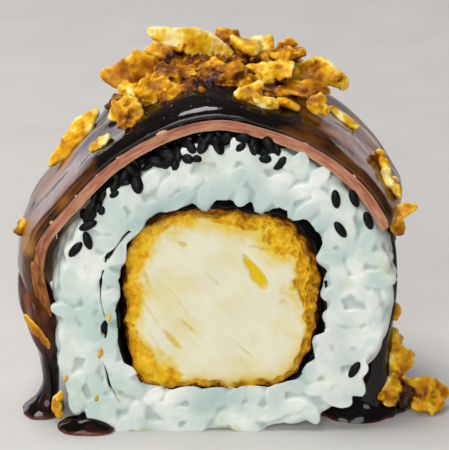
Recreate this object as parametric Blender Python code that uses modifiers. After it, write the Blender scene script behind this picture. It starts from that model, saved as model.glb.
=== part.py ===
"""A slice of uramaki: sushi rice rolled round nori and a fried cutlet, with a slice of beef on top.

The slice stands on its rounded side with the cut face towards -Y. Sweet soy sauce runs down both
sides and crisp fried onion is heaped on the beef. All sizes below are millimetres; shapes are worked
out in millimetres round the roll's own middle and scaled to metres when a mesh is finished.
"""

import math
import random

import bmesh
import bpy
from mathutils import Matrix, Vector, noise

MM = 0.001

# The roll
ROLL_DEPTH = 26.0
FRONT_Y = -ROLL_DEPTH / 2
ROLL_SHIFT = Vector((-1.55, 0.9, 0.0))  # puts the middle of everything over the origin

# Rice: an arch with a flat foot, as polar radii round its widest level
RICE_MIDDLE = Vector((0.0, 0.0, 22.0))
RICE_HALF_WIDTH = 23.0
RICE_RISE = 21.2
RICE_DROP = 22.3  # reaches past the table, and is cut flat there
RICE_CORNERS = (1.9, 1.7, 5.0, 2.3)  # squareness of the corners, from upper right anticlockwise
RICE_SWELL = 1.5
RICE_SKIN = 0.6  # how far the wall grains stand out of the core
RICE_FACE_INSET = 0.9  # the bare core ends this far behind the crowns of the cut grains

GRAIN_LENGTH = 6.0
GRAIN_WIDTH = 2.9
FRONT_ROWS = (0.14, 0.48, 0.82)
FRONT_SPACING = 6.3
BACK_ROWS = (0.22, 0.72)
BACK_SPACING = 8.0
SEED_LENGTH = 3.2
SEED_WIDTH = 1.9
SEED_THICKNESS = 0.9

# Cutlet: a rounded square bar through the roll
CUTLET_MIDDLE = Vector((-0.3, 0.0, 20.1))
CUTLET_HALF_WIDTH = 14.0
CUTLET_HALF_HEIGHT = 13.6
CUTLET_CORNERS = (2.9, 2.7, 4.0, 3.2)
CUTLET_FACE_INSET = 0.3

# Nori: one turn and a quarter, whose tail leaves the cutlet and runs out through the rice
NORI_THICKNESS = 0.4
NORI_START = 150.0
NORI_END = 587.0
NORI_LEAVES = 495.0
NORI_RUNS_FREE = 530.0
NORI_TAIL_RISE = 3.2
NORI_TAIL_END_RISE = 4.9
NORI_INSET = 0.3
CLEARANCE = 0.3

# Beef: a slice bent over the arch, hanging free of the rice down the left side
BEEF_THICKNESS = 2.2
BEEF_SWELL = 2.7
BEEF_RIGHT_ANGLE = 20.0
BEEF_LEFT_ANGLE = 148.0
BEEF_WAVE = 0.35
ARC_STEPS = 40
DEPTH_ROWS = 6
BEEF_END_ROUNDING = 0.045  # share of the arc over which an end tapers
CURTAIN_PATH = ((-23.5, 29.0), (-24.7, 26.2), (-25.0, 23.2), (-24.8, 19.8), (-24.2, 15.6))

MEAT_RED = (0.42, 0.17, 0.11, 1.0)
RICE_WHITE = (0.80, 0.83, 0.78, 1.0)
NORI_GREEN = (0.012, 0.020, 0.014, 1.0)
CUTLET_CREAM = (0.75, 0.70, 0.45, 1.0)
CRISP_GOLD = (0.72, 0.36, 0.03, 1.0)
SAUCE_BROWN = (0.030, 0.012, 0.008, 1.0)


def clear_scene():
    for obj in list(bpy.data.objects):
        bpy.data.objects.remove(obj, do_unlink=True)


def material(name, colour, roughness):
    made = bpy.data.materials.new(name)
    made.use_nodes = True
    shader = made.node_tree.nodes["Principled BSDF"]
    shader.inputs["Base Color"].default_value = colour
    shader.inputs["Roughness"].default_value = roughness
    shader.inputs["Metallic"].default_value = 0.0
    return made


# Outlines


def corner_radius(angle, half_width, rise, drop, corners):
    """Polar radius of a rounded square whose four corners have their own squareness."""
    across, up = math.cos(angle), math.sin(angle)
    quadrant = int((angle % (2 * math.pi)) // (math.pi / 2))
    power = corners[quadrant]
    height = rise if up >= 0 else drop
    return (abs(across / half_width) ** power + abs(up / height) ** power) ** (-1 / power)


def rice_edge(angle, swell=0.0):
    """Point (x, z) of the rice's outline. The swell moves it outwards, and the table cuts it flat."""
    radius = corner_radius(angle, RICE_HALF_WIDTH, RICE_RISE, RICE_DROP, RICE_CORNERS) + swell
    return (
        RICE_MIDDLE.x + radius * math.cos(angle),
        max(0.0, RICE_MIDDLE.z + radius * math.sin(angle)),
    )


def cutlet_radius(angle):
    radius = corner_radius(
        angle, CUTLET_HALF_WIDTH, CUTLET_HALF_HEIGHT, CUTLET_HALF_HEIGHT, CUTLET_CORNERS
    )
    lumps = noise.noise(Vector((2.2 * math.cos(angle), 2.2 * math.sin(angle), 4.0)))
    return radius + 0.5 * lumps - 0.25


def smooth_step(value, low, high):
    share = min(1.0, max(0.0, (value - low) / (high - low)))
    return share * share * (3 - 2 * share)


def nori_radius(degrees):
    """Radius of the nori's middle line, which winds once round the cutlet and then runs outwards."""
    angle = math.radians(degrees)
    slack = 0.35 + 0.35 * math.sin(2 * angle + 0.6) + 0.2 * math.sin(5 * angle)
    wound = cutlet_radius(angle) + CLEARANCE + NORI_THICKNESS / 2 + max(0.0, slack)
    leaving = NORI_TAIL_RISE * smooth_step(degrees, NORI_LEAVES, NORI_RUNS_FREE)
    ending = (NORI_TAIL_END_RISE - NORI_TAIL_RISE) * smooth_step(degrees, NORI_RUNS_FREE, NORI_END)
    return wound + leaving + ending


def nori_point(degrees):
    angle = math.radians(degrees)
    radius = nori_radius(degrees)
    return (
        CUTLET_MIDDLE.x + radius * math.cos(angle),
        CUTLET_MIDDLE.z + radius * math.sin(angle),
    )


def depth_swell(y):
    """How far along its bulge the roll is at depth y: 0 at both cut faces, 1 halfway."""
    return 1 - min(1.0, abs(2 * y / ROLL_DEPTH)) ** 2.2


# Mesh helpers


def finish(name, mesh_builder, finish_material):
    """A named object from a bmesh in millimetres, moved to its place and scaled to metres."""
    bmesh.ops.recalc_face_normals(mesh_builder, faces=mesh_builder.faces)
    if mesh_builder.calc_volume(signed=True) < 0:
        bmesh.ops.reverse_faces(mesh_builder, faces=mesh_builder.faces)
    mesh_builder.transform(Matrix.Scale(MM, 4) @ Matrix.Translation(ROLL_SHIFT))
    mesh = bpy.data.meshes.new(name)
    mesh_builder.to_mesh(mesh)
    mesh_builder.free()
    mesh.shade_smooth()
    mesh.set_sharp_from_angle(angle=math.radians(50))
    made = bpy.data.objects.new(name, mesh)
    made.data.materials.append(finish_material)
    bpy.context.scene.collection.objects.link(made)
    return made


def bake(obj):
    """Replace the object's mesh by what its modifiers make of it."""
    graph = bpy.context.evaluated_depsgraph_get()
    mesh = bpy.data.meshes.new_from_object(obj.evaluated_get(graph))
    obj.modifiers.clear()
    obj.data = mesh
    return obj


def keep_largest_body(obj):
    """Drop loose scraps, sealed hollows and fins of no thickness."""
    shape = bmesh.new()
    shape.from_mesh(obj.data)
    bmesh.ops.triangulate(shape, faces=shape.faces)
    left = set(shape.faces)
    bodies = []
    while left:
        body = {left.pop()}
        rim = list(body)
        while rim:
            face = rim.pop()
            for edge in face.edges:
                if len(edge.link_faces) != 2:
                    continue
                for other in edge.link_faces:
                    if other not in body:
                        body.add(other)
                        rim.append(other)
        left -= body
        bodies.append(body)
    bodies.sort(key=len)
    for body in bodies[:-1]:
        bmesh.ops.delete(shape, geom=list(body), context="FACES")
    shape.to_mesh(obj.data)
    shape.free()
    return obj


def combine(target, others, operation):
    """Join the other objects to the target, or cut them from it, and remove them."""
    group = bpy.data.collections.new(target.name + "_others")
    bpy.context.scene.collection.children.link(group)
    for other in others:
        bpy.context.scene.collection.objects.unlink(other)
        group.objects.link(other)
    modifier = target.modifiers.new(operation.lower(), "BOOLEAN")
    modifier.operation = operation
    modifier.operand_type = "COLLECTION"
    modifier.collection = group
    modifier.solver = "MANIFOLD"
    bake(target)
    for other in others:
        bpy.data.objects.remove(other, do_unlink=True)
    bpy.data.collections.remove(group)
    return target


def bar_from_sphere(around, face_rings, side_rings):
    """A ball whose poles lie along Y, and for each vertex its angle and its place from front to back.

    The place runs from -2 (middle of the front face) through -1 (front rim) and 1 (back rim) to 2.
    """
    shape = bmesh.new()
    rings = 2 * face_rings + side_rings
    turned = Matrix.Rotation(math.radians(90), 4, "X")
    bmesh.ops.create_uvsphere(shape, u_segments=around, v_segments=rings, radius=1, matrix=turned)
    places = []
    for vertex in shape.verts:
        angle = math.atan2(vertex.co.z, vertex.co.x)
        ring = round(math.acos(max(-1.0, min(1.0, -vertex.co.y))) / math.pi * rings)
        if ring <= face_rings:
            place = -2 + ring / face_rings
        elif ring >= rings - face_rings:
            place = 2 - (rings - ring) / face_rings
        else:
            place = -1 + 2 * (ring - face_rings) / side_rings
        places.append((vertex, angle, place))
    return shape, places


# Rice


def rice_core():
    """The packed rice without the grains that show."""
    shape, places = bar_from_sphere(around=48, face_rings=1, side_rings=4)
    half_depth = ROLL_DEPTH / 2 - RICE_FACE_INSET
    for vertex, angle, place in places:
        y = half_depth * max(-1.0, min(1.0, place))
        share = min(1.0, 2 - abs(place))
        x, z = rice_edge(angle, RICE_SWELL * depth_swell(y) - RICE_SKIN)
        vertex.co = Vector((x * share, y, RICE_MIDDLE.z + (z - RICE_MIDDLE.z) * share))
    return finish("rice", shape, RICE)


def ball(name, place, turn, half_sizes, segments, rings, finish_material):
    """A small ellipsoid with few sides, such as a grain or a seed, its length along its own Z."""
    shape = bmesh.new()
    size = Matrix.Diagonal((*half_sizes, 1.0))
    matrix = Matrix.Translation(place) @ turn.to_4x4() @ size
    bmesh.ops.create_uvsphere(
        shape, u_segments=segments, v_segments=rings, radius=1, matrix=matrix
    )
    return finish(name, shape, finish_material)


def lying_on(normal, heading, lean=0.0):
    """A turn that puts Z along the heading, flattened to the surface, and X along the normal."""
    along = (heading - normal * heading.dot(normal)).normalized()
    along = (along + normal * lean).normalized()
    side = along.cross(normal).normalized()
    return Matrix((side.cross(along), side, along)).transposed()


def face_grains(draw, side, rows, spacing):
    """Grains of one cut face: rows between the nori and the outline, lying roughly along the roll."""
    grains = []
    face_y = side * ROLL_DEPTH / 2
    for row in rows:
        degrees = draw.uniform(0, 20)
        while degrees < 360:
            angle = math.radians(degrees)
            inner = Vector((*nori_point(degrees if degrees > NORI_START else degrees + 360), 0))
            outer = Vector((*rice_edge(angle), 0))
            spot = inner.lerp(outer, row + draw.uniform(-0.08, 0.08))
            degrees += math.degrees(spacing / (spot - Vector((0, RICE_MIDDLE.z, 0))).length)
            if spot.y < GRAIN_WIDTH * 0.5 or (outer - inner).length < GRAIN_WIDTH:
                continue
            along = angle + math.pi / 2 + draw.gauss(0, 0.45)
            heading = Vector((math.cos(along), 0, math.sin(along)))
            turn = lying_on(Vector((0, side, 0)), heading, draw.uniform(-0.2, 0.2))
            half_sizes = (
                0.42 * GRAIN_WIDTH,
                0.5 * GRAIN_WIDTH * draw.uniform(0.9, 1.1),
                0.5 * GRAIN_LENGTH * draw.uniform(0.85, 1.05),
            )
            sunk = half_sizes[0] + draw.uniform(0.0, 0.2)
            place = Vector((spot.x, face_y - side * sunk, spot.y))
            grains.append(ball("grain", place, turn, half_sizes, 5, 4, RICE))
    return grains


def wall_spot(angle, y, raised=0.0):
    """A point on the rice's outer wall and the direction that faces out of it."""
    step = 0.02
    swell = RICE_SWELL * depth_swell(y) - RICE_SKIN
    before, here, after = (
        Vector((*rice_edge(angle + turn, swell), 0)) for turn in (-step, 0, step)
    )
    across = (after - before).normalized()
    normal = Vector((across.y, 0, -across.x))
    return Vector((here.x, y, here.y)) + normal * raised, normal


def wall_grains(draw):
    """Grains on the two upright walls, below the beef on the right and behind it on the left."""
    grains = []
    for low, high in ((-38, 12), (168, 214)):
        for step in range(4):
            for column in range(3):
                share = (step + 0.5 + draw.uniform(-0.25, 0.25)) / 4
                angle = math.radians(low + (high - low) * share)
                y = (column - 1 + 0.4 * (step % 2) - 0.2) * 7.2 + draw.uniform(-1.2, 1.2)
                half_sizes = (0.4 * GRAIN_WIDTH, 0.5 * GRAIN_WIDTH, 0.5 * GRAIN_LENGTH)
                place, normal = wall_spot(angle, y, RICE_SKIN + 0.1 - half_sizes[0])
                heading = Vector((0, draw.uniform(-1, 1), draw.uniform(-1, 1)))
                turn = lying_on(normal, heading)
                grains.append(ball("grain", place, turn, half_sizes, 5, 4, RICE))
    return grains


def sesame_seeds(draw):
    """Black sesame: a band under the front rim of the beef, a few on the walls and on the face."""
    half_sizes = (SEED_THICKNESS / 2, SEED_WIDTH / 2, SEED_LENGTH / 2)
    seeds = []
    band = [(degrees, FRONT_Y + 1.9) for degrees in range(82, 146, 8)]
    walls = [(degrees, y) for degrees in (-22, 2) for y in (-9.0, 0.0, 9.0)]
    walls += [(degrees, y) for degrees in (182, 202) for y in (0.0, 9.0)]
    for degrees, y in band + walls:
        degrees += draw.uniform(-2, 2)
        place, normal = wall_spot(math.radians(degrees), y + draw.uniform(-0.6, 0.6), 0.3)
        heading = Vector((draw.uniform(-1, 1), draw.uniform(-1, 1), draw.uniform(-1, 1)))
        seeds.append(ball("seed", place, lying_on(normal, heading), half_sizes, 5, 3, RICE))
    for x, z, slope in FACE_SEEDS:
        heading = Vector((math.cos(math.radians(slope)), 0, math.sin(math.radians(slope))))
        place = Vector((x, FRONT_Y + 0.1, z))
        turn = lying_on(Vector((0, -1, 0)), heading)
        seeds.append(ball("seed", place, turn, half_sizes, 5, 3, RICE))
    return seeds


FACE_SEEDS = (  # across, up, and the slope of the seed in degrees
    (-18.6, 33.4, 65),
    (-18.6, 30.9, 100),
    (-19.7, 29.3, 50),
    (14.8, 34.8, 105),
    (16.0, 30.2, 130),
)


def build_rice():
    draw = random.Random(7)
    rice = rice_core()
    grains = face_grains(draw, -1, FRONT_ROWS, FRONT_SPACING)
    grains += face_grains(draw, 1, BACK_ROWS, BACK_SPACING)
    grains += wall_grains(draw)
    combine(rice, grains + sesame_seeds(draw), "UNION")
    cutters = [pocket_cutter(), nori_strip("slit", NORI_THICKNESS + 2 * CLEARANCE, 2.0)]
    cutters.append(puddle(CLEARANCE))
    cutters.append(table_cutter())
    cutters.append(beef_room(-CLEARANCE, 5.0))
    combine(rice, cutters, "DIFFERENCE")
    return keep_largest_body(rice)


def table_cutter():
    shape = bmesh.new()
    size = Matrix.Diagonal((90, 60, 10, 1))
    bmesh.ops.create_cube(shape, size=1, matrix=Matrix.Translation((0, 0, -5)) @ size)
    return finish("table", shape, RICE)


# Nori and the space for it


def nori_strip(name, thickness, past_the_face):
    """The wound sheet: a grid bent along the spiral, given its thickness by Solidify."""
    steps = 54
    shape = bmesh.new()
    bmesh.ops.create_grid(shape, x_segments=steps, y_segments=1, size=0.5)
    half_depth = ROLL_DEPTH / 2 - NORI_INSET + past_the_face
    for vertex in shape.verts:
        degrees = NORI_START + (NORI_END - NORI_START) * (vertex.co.x + 0.5)
        x, z = nori_point(degrees)
        vertex.co = Vector((x, 2 * half_depth * vertex.co.y, z))
    made = finish(name, shape, NORI)
    solid = made.modifiers.new("thickness", "SOLIDIFY")
    solid.thickness = thickness * MM
    solid.offset = 0
    solid.use_even_offset = True
    return bake(made)


def pocket_cutter():
    """The room inside the first turn of nori, right through the roll."""
    steps = 32
    outline = [nori_point(NORI_START + 360 * step / steps) for step in range(steps)]
    shape = bmesh.new()
    front = [shape.verts.new((x, -ROLL_DEPTH, z)) for x, z in outline]
    face = shape.faces.new(front)
    pushed = bmesh.ops.extrude_face_region(shape, geom=[face])["geom"]
    moved = [item for item in pushed if isinstance(item, bmesh.types.BMVert)]
    bmesh.ops.translate(shape, verts=moved, vec=(0, 2 * ROLL_DEPTH, 0))
    return finish("pocket", shape, RICE)


# Cutlet


CUTLET_RINGS = (0.0, 0.35, 0.68, 0.80, 0.88, 0.95, 1.0)  # shares of the radius on a cut face


def build_cutlet():
    """The cutlet: a lumpy bar whose crumb coat stands up round the smoother meat."""
    face_rings = len(CUTLET_RINGS) - 1
    shape, places = bar_from_sphere(around=38, face_rings=face_rings, side_rings=2)
    half_depth = ROLL_DEPTH / 2 - CUTLET_FACE_INSET
    for vertex, angle, place in places:
        ring = min(face_rings, round((2 - abs(place)) * face_rings))
        share = CUTLET_RINGS[ring]
        side = -1 if place < 0 else 1
        y = half_depth * max(-1.0, min(1.0, place))
        radius = cutlet_radius(angle) * share
        x, z = radius * math.cos(angle), radius * math.sin(angle)
        crumb = noise.noise(Vector((x * 0.7, 3.0 * y, z * 0.7)))
        if abs(place) >= 1:
            coat = smooth_step(share, 0.70 + 0.06 * math.cos(angle + 2.4), 0.88)
            fibres = 0.35 * noise.noise(Vector((0.22 * (x + z), side * 3.0, 0.5 * (z - x))))
            y -= side * (0.35 + coat * (0.45 + 0.9 * crumb) + (1 - coat) * fibres)
        else:
            x, z = x * (1 + 0.03 * crumb), z * (1 + 0.03 * crumb)
        vertex.co = CUTLET_MIDDLE + Vector((x, y, z))
    return finish("cutlet", shape, CUTLET)


# Beef


def curve_through(points, share):
    """Point at a share from 0 to 1 along a smooth curve through the points."""
    spans = len(points) - 1
    span = min(spans - 1, int(share * spans))
    local = share * spans - span
    picks = [Vector(points[max(0, min(spans, span + step))]) for step in (-1, 0, 1, 2)]
    a, b, c, d = picks
    return 0.5 * (
        2 * b
        + (c - a) * local
        + (2 * a - 5 * b + 4 * c - d) * local ** 2
        + (3 * b - a - 3 * c + d) * local ** 3
    )


def beef_path():
    """The line (x, z) of the beef's underside at the front rim, from the right end to the left."""
    path = []
    for step in range(10):
        share = step / 9
        degrees = BEEF_RIGHT_ANGLE + (BEEF_LEFT_ANGLE - BEEF_RIGHT_ANGLE) * share
        gap = 0.5 + 0.9 * smooth_step(degrees, 70, 100)
        radius = corner_radius(
            math.radians(degrees), RICE_HALF_WIDTH, RICE_RISE, RICE_DROP, RICE_CORNERS
        )
        reach = radius + gap
        path.append(
            (
                RICE_MIDDLE.x + reach * math.cos(math.radians(degrees)),
                RICE_MIDDLE.z + reach * math.sin(math.radians(degrees)),
            )
        )
    return path + list(CURTAIN_PATH)


def beef_surface(path, share, y, height):
    """A point of the beef at a share along its arc and a depth, this high above its underside."""
    nudge = 0.01
    here = curve_through(path, share)
    ahead = curve_through(path, min(1.0, share + nudge))
    behind = curve_through(path, max(0.0, share - nudge))
    across = (ahead - behind).normalized()
    outward = Vector((across.y, -across.x))
    wave = noise.noise(Vector((9 * share, 0.12 * y, 2.0))) * BEEF_WAVE
    swell = BEEF_SWELL * depth_swell(y) * (0.85 + 0.15 * math.sin(2 * math.pi * share))
    point = here + outward * (height + swell + wave * depth_swell(y))
    return Vector((point.x, y, point.y))


def slab_over_arch(name, shares, depths, low, high, steps, rows, slab_material):
    """A closed slab in the beef's own directions: along the arc, through the depth, and outwards.

    The low and high sides are functions of share and depth that give heights above the underside.
    """
    path = beef_path()
    shape = bmesh.new()
    bmesh.ops.create_grid(shape, x_segments=steps, y_segments=rows, size=0.5)
    flat = list(shape.verts)
    pushed = bmesh.ops.extrude_face_region(shape, geom=list(shape.faces), use_keep_orig=True)
    raised = [item for item in pushed["geom"] if isinstance(item, bmesh.types.BMVert)]
    for layer, height in ((flat, low), (raised, high)):
        for vertex in layer:
            share = shares[0] + (shares[1] - shares[0]) * (vertex.co.x + 0.5)
            y = depths[0] + (depths[1] - depths[0]) * (vertex.co.y + 0.5)
            vertex.co = beef_surface(path, share, y, height(share, y))
    return finish(name, shape, slab_material)


def end_taper(share):
    """How full the beef is at a share along its arc: 1 in the middle, rounding off at both ends."""
    near = min(share, 1 - share) / BEEF_END_ROUNDING
    return math.sqrt(max(0.0, 1 - max(0.0, 1 - near) ** 2)) * 0.8 + 0.2


def beef_low(share, y):
    return BEEF_THICKNESS * 0.35 * (1 - end_taper(share))


def beef_high(share, y):
    edge = smooth_step(ROLL_DEPTH / 2 - abs(y), -0.2, 1.2)
    return BEEF_THICKNESS * ((0.35 + 0.65 * end_taper(share)) - 0.12 * (1 - edge))


def beef_room(low, high):
    """The space round the beef, to keep its neighbours off it."""
    step = 1 / ARC_STEPS
    depth = ROLL_DEPTH / 2 * (1 + 2 / DEPTH_ROWS)
    return slab_over_arch(
        "room",
        (-step, 1 + step),
        (-depth, depth),
        lambda *_: low,
        lambda *_: high,
        ARC_STEPS + 2,
        DEPTH_ROWS + 2,
        BEEF,
    )


def on_beef(share, y, lift):
    """A point this far above the beef's outer side, and the direction that faces out of it."""
    path = beef_path()
    place = beef_surface(path, share, y, BEEF_THICKNESS + lift)
    below = beef_surface(path, share, y, 0)
    return place, (place - below).normalized()


# Crisp onion


def flake(name, spine, half_widths, half_thickness, facing, seed, segments=6, rings=5):
    """One crisp flake: a flat, craggy, blunt-ended lump along its spine."""
    draw = random.Random(seed)
    shape = bmesh.new()
    bmesh.ops.create_uvsphere(shape, u_segments=segments, v_segments=rings, radius=1)
    widths = [(width, 0) for width in half_widths]
    for vertex in shape.verts:
        share = math.acos(max(-1.0, min(1.0, vertex.co.z))) / math.pi
        ahead = curve_through(spine, min(1.0, share + 0.02))
        along = (ahead - curve_through(spine, max(0.0, share - 0.02))).normalized()
        side = along.cross(facing).normalized()
        out = side.cross(along)
        ring = math.hypot(vertex.co.x, vertex.co.y)
        blunt = ring ** 0.45 if ring > 1e-6 else 0.0
        angle = math.atan2(vertex.co.y, vertex.co.x)
        across = curve_through(widths, share).x * blunt * draw.uniform(0.75, 1.25)
        thick = half_thickness * blunt * draw.uniform(0.7, 1.3)
        place = curve_through(spine, share) + along * draw.uniform(-0.1, 0.1)
        vertex.co = place + side * (math.cos(angle) * across) + out * (math.sin(angle) * thick)
    return finish(name, shape, CRISP)


# Each flake of the heap: spine points, half widths along it, half thickness, which way it faces
TOP_FLAKES = (
    (((-10.4, 0, 55.6), (-6.6, 0, 54.4), (-2.6, 1, 53.4), (1.4, 2, 50.8)), (1.2, 1.9, 2.0, 1.2), 0.8, (0, -1, 0.3)),
    (((-17.4, -2, 49.6), (-14.4, -2, 49.2), (-11.0, -1, 49.4), (-8.0, 0, 49.4)), (0.8, 2.5, 2.9, 2.0), 0.9, (0, -1, 0.3)),
    (((-11.4, 2, 51.6), (-8.0, 2, 51.2), (-5.0, 1, 49.6), (-3.0, 0, 47.8)), (1.4, 2.4, 2.4, 1.6), 1.1, (0, -1, 0.4)),
    (((-7.4, 1, 52.4), (-3.4, 0, 51.2), (0.4, 1, 50.2)), (0.8, 1.3, 1.0), 0.9, (0, -0.8, 0.6)),
    (((-1.0, 3, 54.2), (0.6, 3, 52.6), (2.6, 3, 51.0)), (1.2, 2.0, 1.8), 1.2, (0, -1, 0.2)),
    (((2.0, 3, 52.4), (5.0, 3, 51.0), (7.2, 2, 49.6)), (1.4, 2.2, 1.6), 1.3, (0, -1, 0.3)),
    (((9.5, 3, 53.2), (8.7, 3, 51.9), (7.2, 2.5, 50.2), (6.0, 2, 48.8)), (1.5, 1.5, 0.9, 1.2), 1.0, (0.2, -1, 0.1)),
    (((-2.7, -4, 46.9), (-1.5, -4, 49.0), (0.6, -4, 50.6)), (1.3, 1.7, 1.2), 1.1, (0, -1, 0.3)),
    (((0.8, -3, 50.2), (4.4, -3, 49.3), (8.0, -2, 49.2), (10.4, 0, 49.6)), (1.4, 1.9, 1.7, 1.0), 1.2, (0, -1, 0.5)),
    (((1.0, -9, 47.2), (3.0, -9, 48.0), (4.8, -8.4, 49.4)), (1.1, 1.7, 1.2), 1.0, (0, -1, 0.3)),
    (((3.4, -9.6, 47.2), (6.0, -9.6, 47.2), (7.6, -9, 46.8)), (0.8, 1.1, 0.7), 0.8, (0, -1, 0.5)),
    (((7.2, -4, 48.0), (11.0, -4.6, 47.8), (14.8, -4, 47.8)), (1.5, 2.4, 1.5), 0.8, (0, -0.5, 0.9)),
    (((8.4, 1, 48.8), (12.2, 1, 49.6), (15.4, 1, 48.8), (17.4, 1, 46.6)), (1.4, 2.1, 1.8, 1.2), 1.4, (0, -1, 0.6)),
    (((11.4, -7, 47.4), (12.8, -7.6, 46.4), (14.0, -8, 45.2)), (0.8, 1.2, 0.8), 0.8, (0.3, -1, 0.6)),
    (((-15.6, -8, 45.6), (-13.4, -8, 45.6), (-11.2, -8, 45.8)), (1.4, 2.3, 1.8), 1.4, (0, -1, 0.5)),
    (((-11.8, -6, 47.6), (-9.6, -6, 48.6), (-7.6, -6, 49.0)), (1.3, 2.1, 1.4), 1.3, (0, -1, 0.4)),
    (((-13.0, 6, 47.2), (-9.0, 7, 49.0), (-5.0, 7, 49.4)), (1.4, 2.4, 1.6), 1.2, (0, 0.8, 0.6)),
    (((-3.4, 7, 50.0), (0.4, 7.6, 50.4), (3.6, 7, 49.6)), (1.5, 2.3, 1.4), 1.2, (0, 1, 0.5)),
    (((5.0, 7, 49.8), (8.6, 7, 49.0), (12.0, 6, 47.8)), (1.4, 2.2, 1.5), 1.1, (0, 0.8, 0.6)),
)
RIGHT_FLAKES = (
    (((23.6, -4, 13.0), (24.6, -4.4, 10.6), (25.0, -5, 8.2)), (1.0, 1.7, 1.8), 1.4, (0.3, -1, 0)),
    (((25.2, -4.6, 10.2), (25.8, -5, 7.4), (25.2, -6, 4.4)), (1.4, 2.1, 1.9), 1.7, (0.3, -1, 0)),
    (((25.4, -5.6, 6.4), (25.2, -7, 3.8), (24.6, -8.2, 1.4)), (1.4, 2.0, 1.8), 1.5, (0.2, -1, 0.2)),
    (((24.6, -6.2, 4.4), (27.4, -5.4, 3.2), (30.4, -4.8, 2.2), (33.0, -4.4, 3.0)), (1.6, 2.0, 2.0, 1.4), 1.8, (0, -1, 0.6)),
    (((24.8, -7.6, 2.2), (28.0, -7.2, 1.6), (31.4, -6.0, 1.4)), (1.2, 1.7, 1.3), 1.4, (0, -0.7, 0.7)),
    (((26.4, -3.4, 6.6), (28.4, -3.6, 5.0), (29.6, -4.0, 3.2)), (1.0, 1.6, 1.3), 1.2, (0.5, -1, 0.4)),
)
STREWN_SEED = 20

# Flakes stuck to the beef: share along its arc, depth, slope on the surface in degrees, length, width
STUCK_FLAKES = (
    (0.030, -7.5, 60, 4.6, 1.5),
    (0.075, -5.5, 20, 4.6, 1.3),
    (0.160, -3.0, 80, 5.0, 1.1),
    (0.255, -8.0, 75, 3.6, 1.3),
    (0.275, -1.5, 60, 5.6, 1.5),
    (0.560, -9.0, 70, 3.8, 1.2),
    (0.760, -6.5, 80, 2.6, 1.0),
    (0.985, -4.5, 75, 6.4, 0.9),
)


def build_heap():
    """The heap of crisp onion along the top: a lumpy bed on the beef with the flakes that show."""

    middle, half_share, half_depth = 0.385, 0.165, 9.0

    def bed_top(share, y):
        lumps = noise.noise(Vector((24 * share, 0.35 * y, 8.0)))
        out = math.hypot((share - middle) / half_share, (y - 0.5) / half_depth)
        return BEEF_THICKNESS + 2.2 * (1 - out ** 3) + 1.5 * lumps

    def bed_foot(share, y):
        return min(BEEF_THICKNESS, bed_top(share, y)) - 0.8

    shares = (middle - half_share, middle + half_share)
    depths = (0.5 - half_depth, 0.5 + half_depth)
    heap = slab_over_arch("crisps_top", shares, depths, bed_foot, bed_top, 10, 6, CRISP)
    flakes = [
        flake("flake", [Vector(p) for p in spine], widths, thickness, Vector(facing), seed)
        for seed, (spine, widths, thickness, facing) in enumerate(TOP_FLAKES)
    ]
    flakes += strewn_flakes()
    combine(heap, flakes, "UNION")
    cutters = [beef_room(-3.0, BEEF_THICKNESS + CLEARANCE), *stuck_flakes(1.5 * CLEARANCE)]
    combine(heap, cutters, "DIFFERENCE")
    return keep_largest_body(heap)


def strewn_flakes():
    """Flakes strewn over the bed, leaning at random, thickest along the middle of the heap."""
    draw = random.Random(STREWN_SEED)
    made = []
    for column, share in enumerate((0.28, 0.345, 0.41, 0.475)):
        for row, y in enumerate((-3.6, 1.2, 5.6)):
            lift = draw.uniform(1.6, 3.0) + 1.2 * (row == 1)
            y += draw.uniform(-1.0, 1.0)
            middle, facing = on_beef(share + draw.uniform(-0.015, 0.015), y, lift)
            slope = draw.uniform(0, math.pi)
            level = Vector((math.cos(slope), math.sin(slope), draw.uniform(-0.5, 0.5)))
            reach = level.normalized() * draw.uniform(2.2, 3.2)
            widths = [draw.uniform(1.2, 2.1) for _ in range(3)]
            lean = (facing + Vector((0, draw.uniform(-0.6, 0.6), 0))).normalized()
            spine = (middle - reach, middle, middle + reach)
            seed = 100 + 3 * column + row
            made.append(flake("strewn", spine, widths, draw.uniform(0.8, 1.3), lean, seed, 6, 5))
    return made


def build_left_crisp():
    """The long crisp that leans on the left shoulder."""
    points = []
    for share, y, lift in ((0.585, 0.5, 1.6), (0.615, 0.0, 1.1), (0.65, -0.5, 1.0), (0.70, -1.0, 1.2)):
        point, facing = on_beef(share, y, lift)
        points.append(point)
    made = flake("crisp_left", points, (1.2, 1.8, 1.7, 1.1), 1.2, facing, 31, 8, 7)
    combine(made, [beef_room(-3.0, BEEF_THICKNESS + CLEARANCE), *stuck_flakes(1.5 * CLEARANCE)], "DIFFERENCE")
    return keep_largest_body(made)


def build_right_crisps():
    flakes = [
        flake("crisps_right", [Vector(p) for p in spine], widths, thickness, Vector(facing), 40 + seed)
        for seed, (spine, widths, thickness, facing) in enumerate(RIGHT_FLAKES)
    ]
    made = combine(flakes[1], [flakes[0], *flakes[2:]], "UNION")
    made.name = "crisps_right"
    combine(made, [table_cutter(), right_pool(CLEARANCE)], "DIFFERENCE")
    return keep_largest_body(made)


def stuck_flakes(grow=0.0):
    made = []
    for seed, (share, y, slope, length, width) in enumerate(STUCK_FLAKES):
        middle, facing = on_beef(share, y, 0.5)
        along = on_beef(share + 0.02, y, 0.5)[0] - middle
        along = Matrix.Rotation(math.radians(slope - 90), 3, facing) @ along.normalized()
        reach = along * (length / 2 + grow)
        widths = (0.6 * width + grow, width + grow, 0.6 * width + grow)
        ends = (middle - reach, middle, middle + reach)
        made.append(flake("stuck", ends, widths, 0.75 + grow, facing, 60 + seed, 6, 5))
    return made


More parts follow.
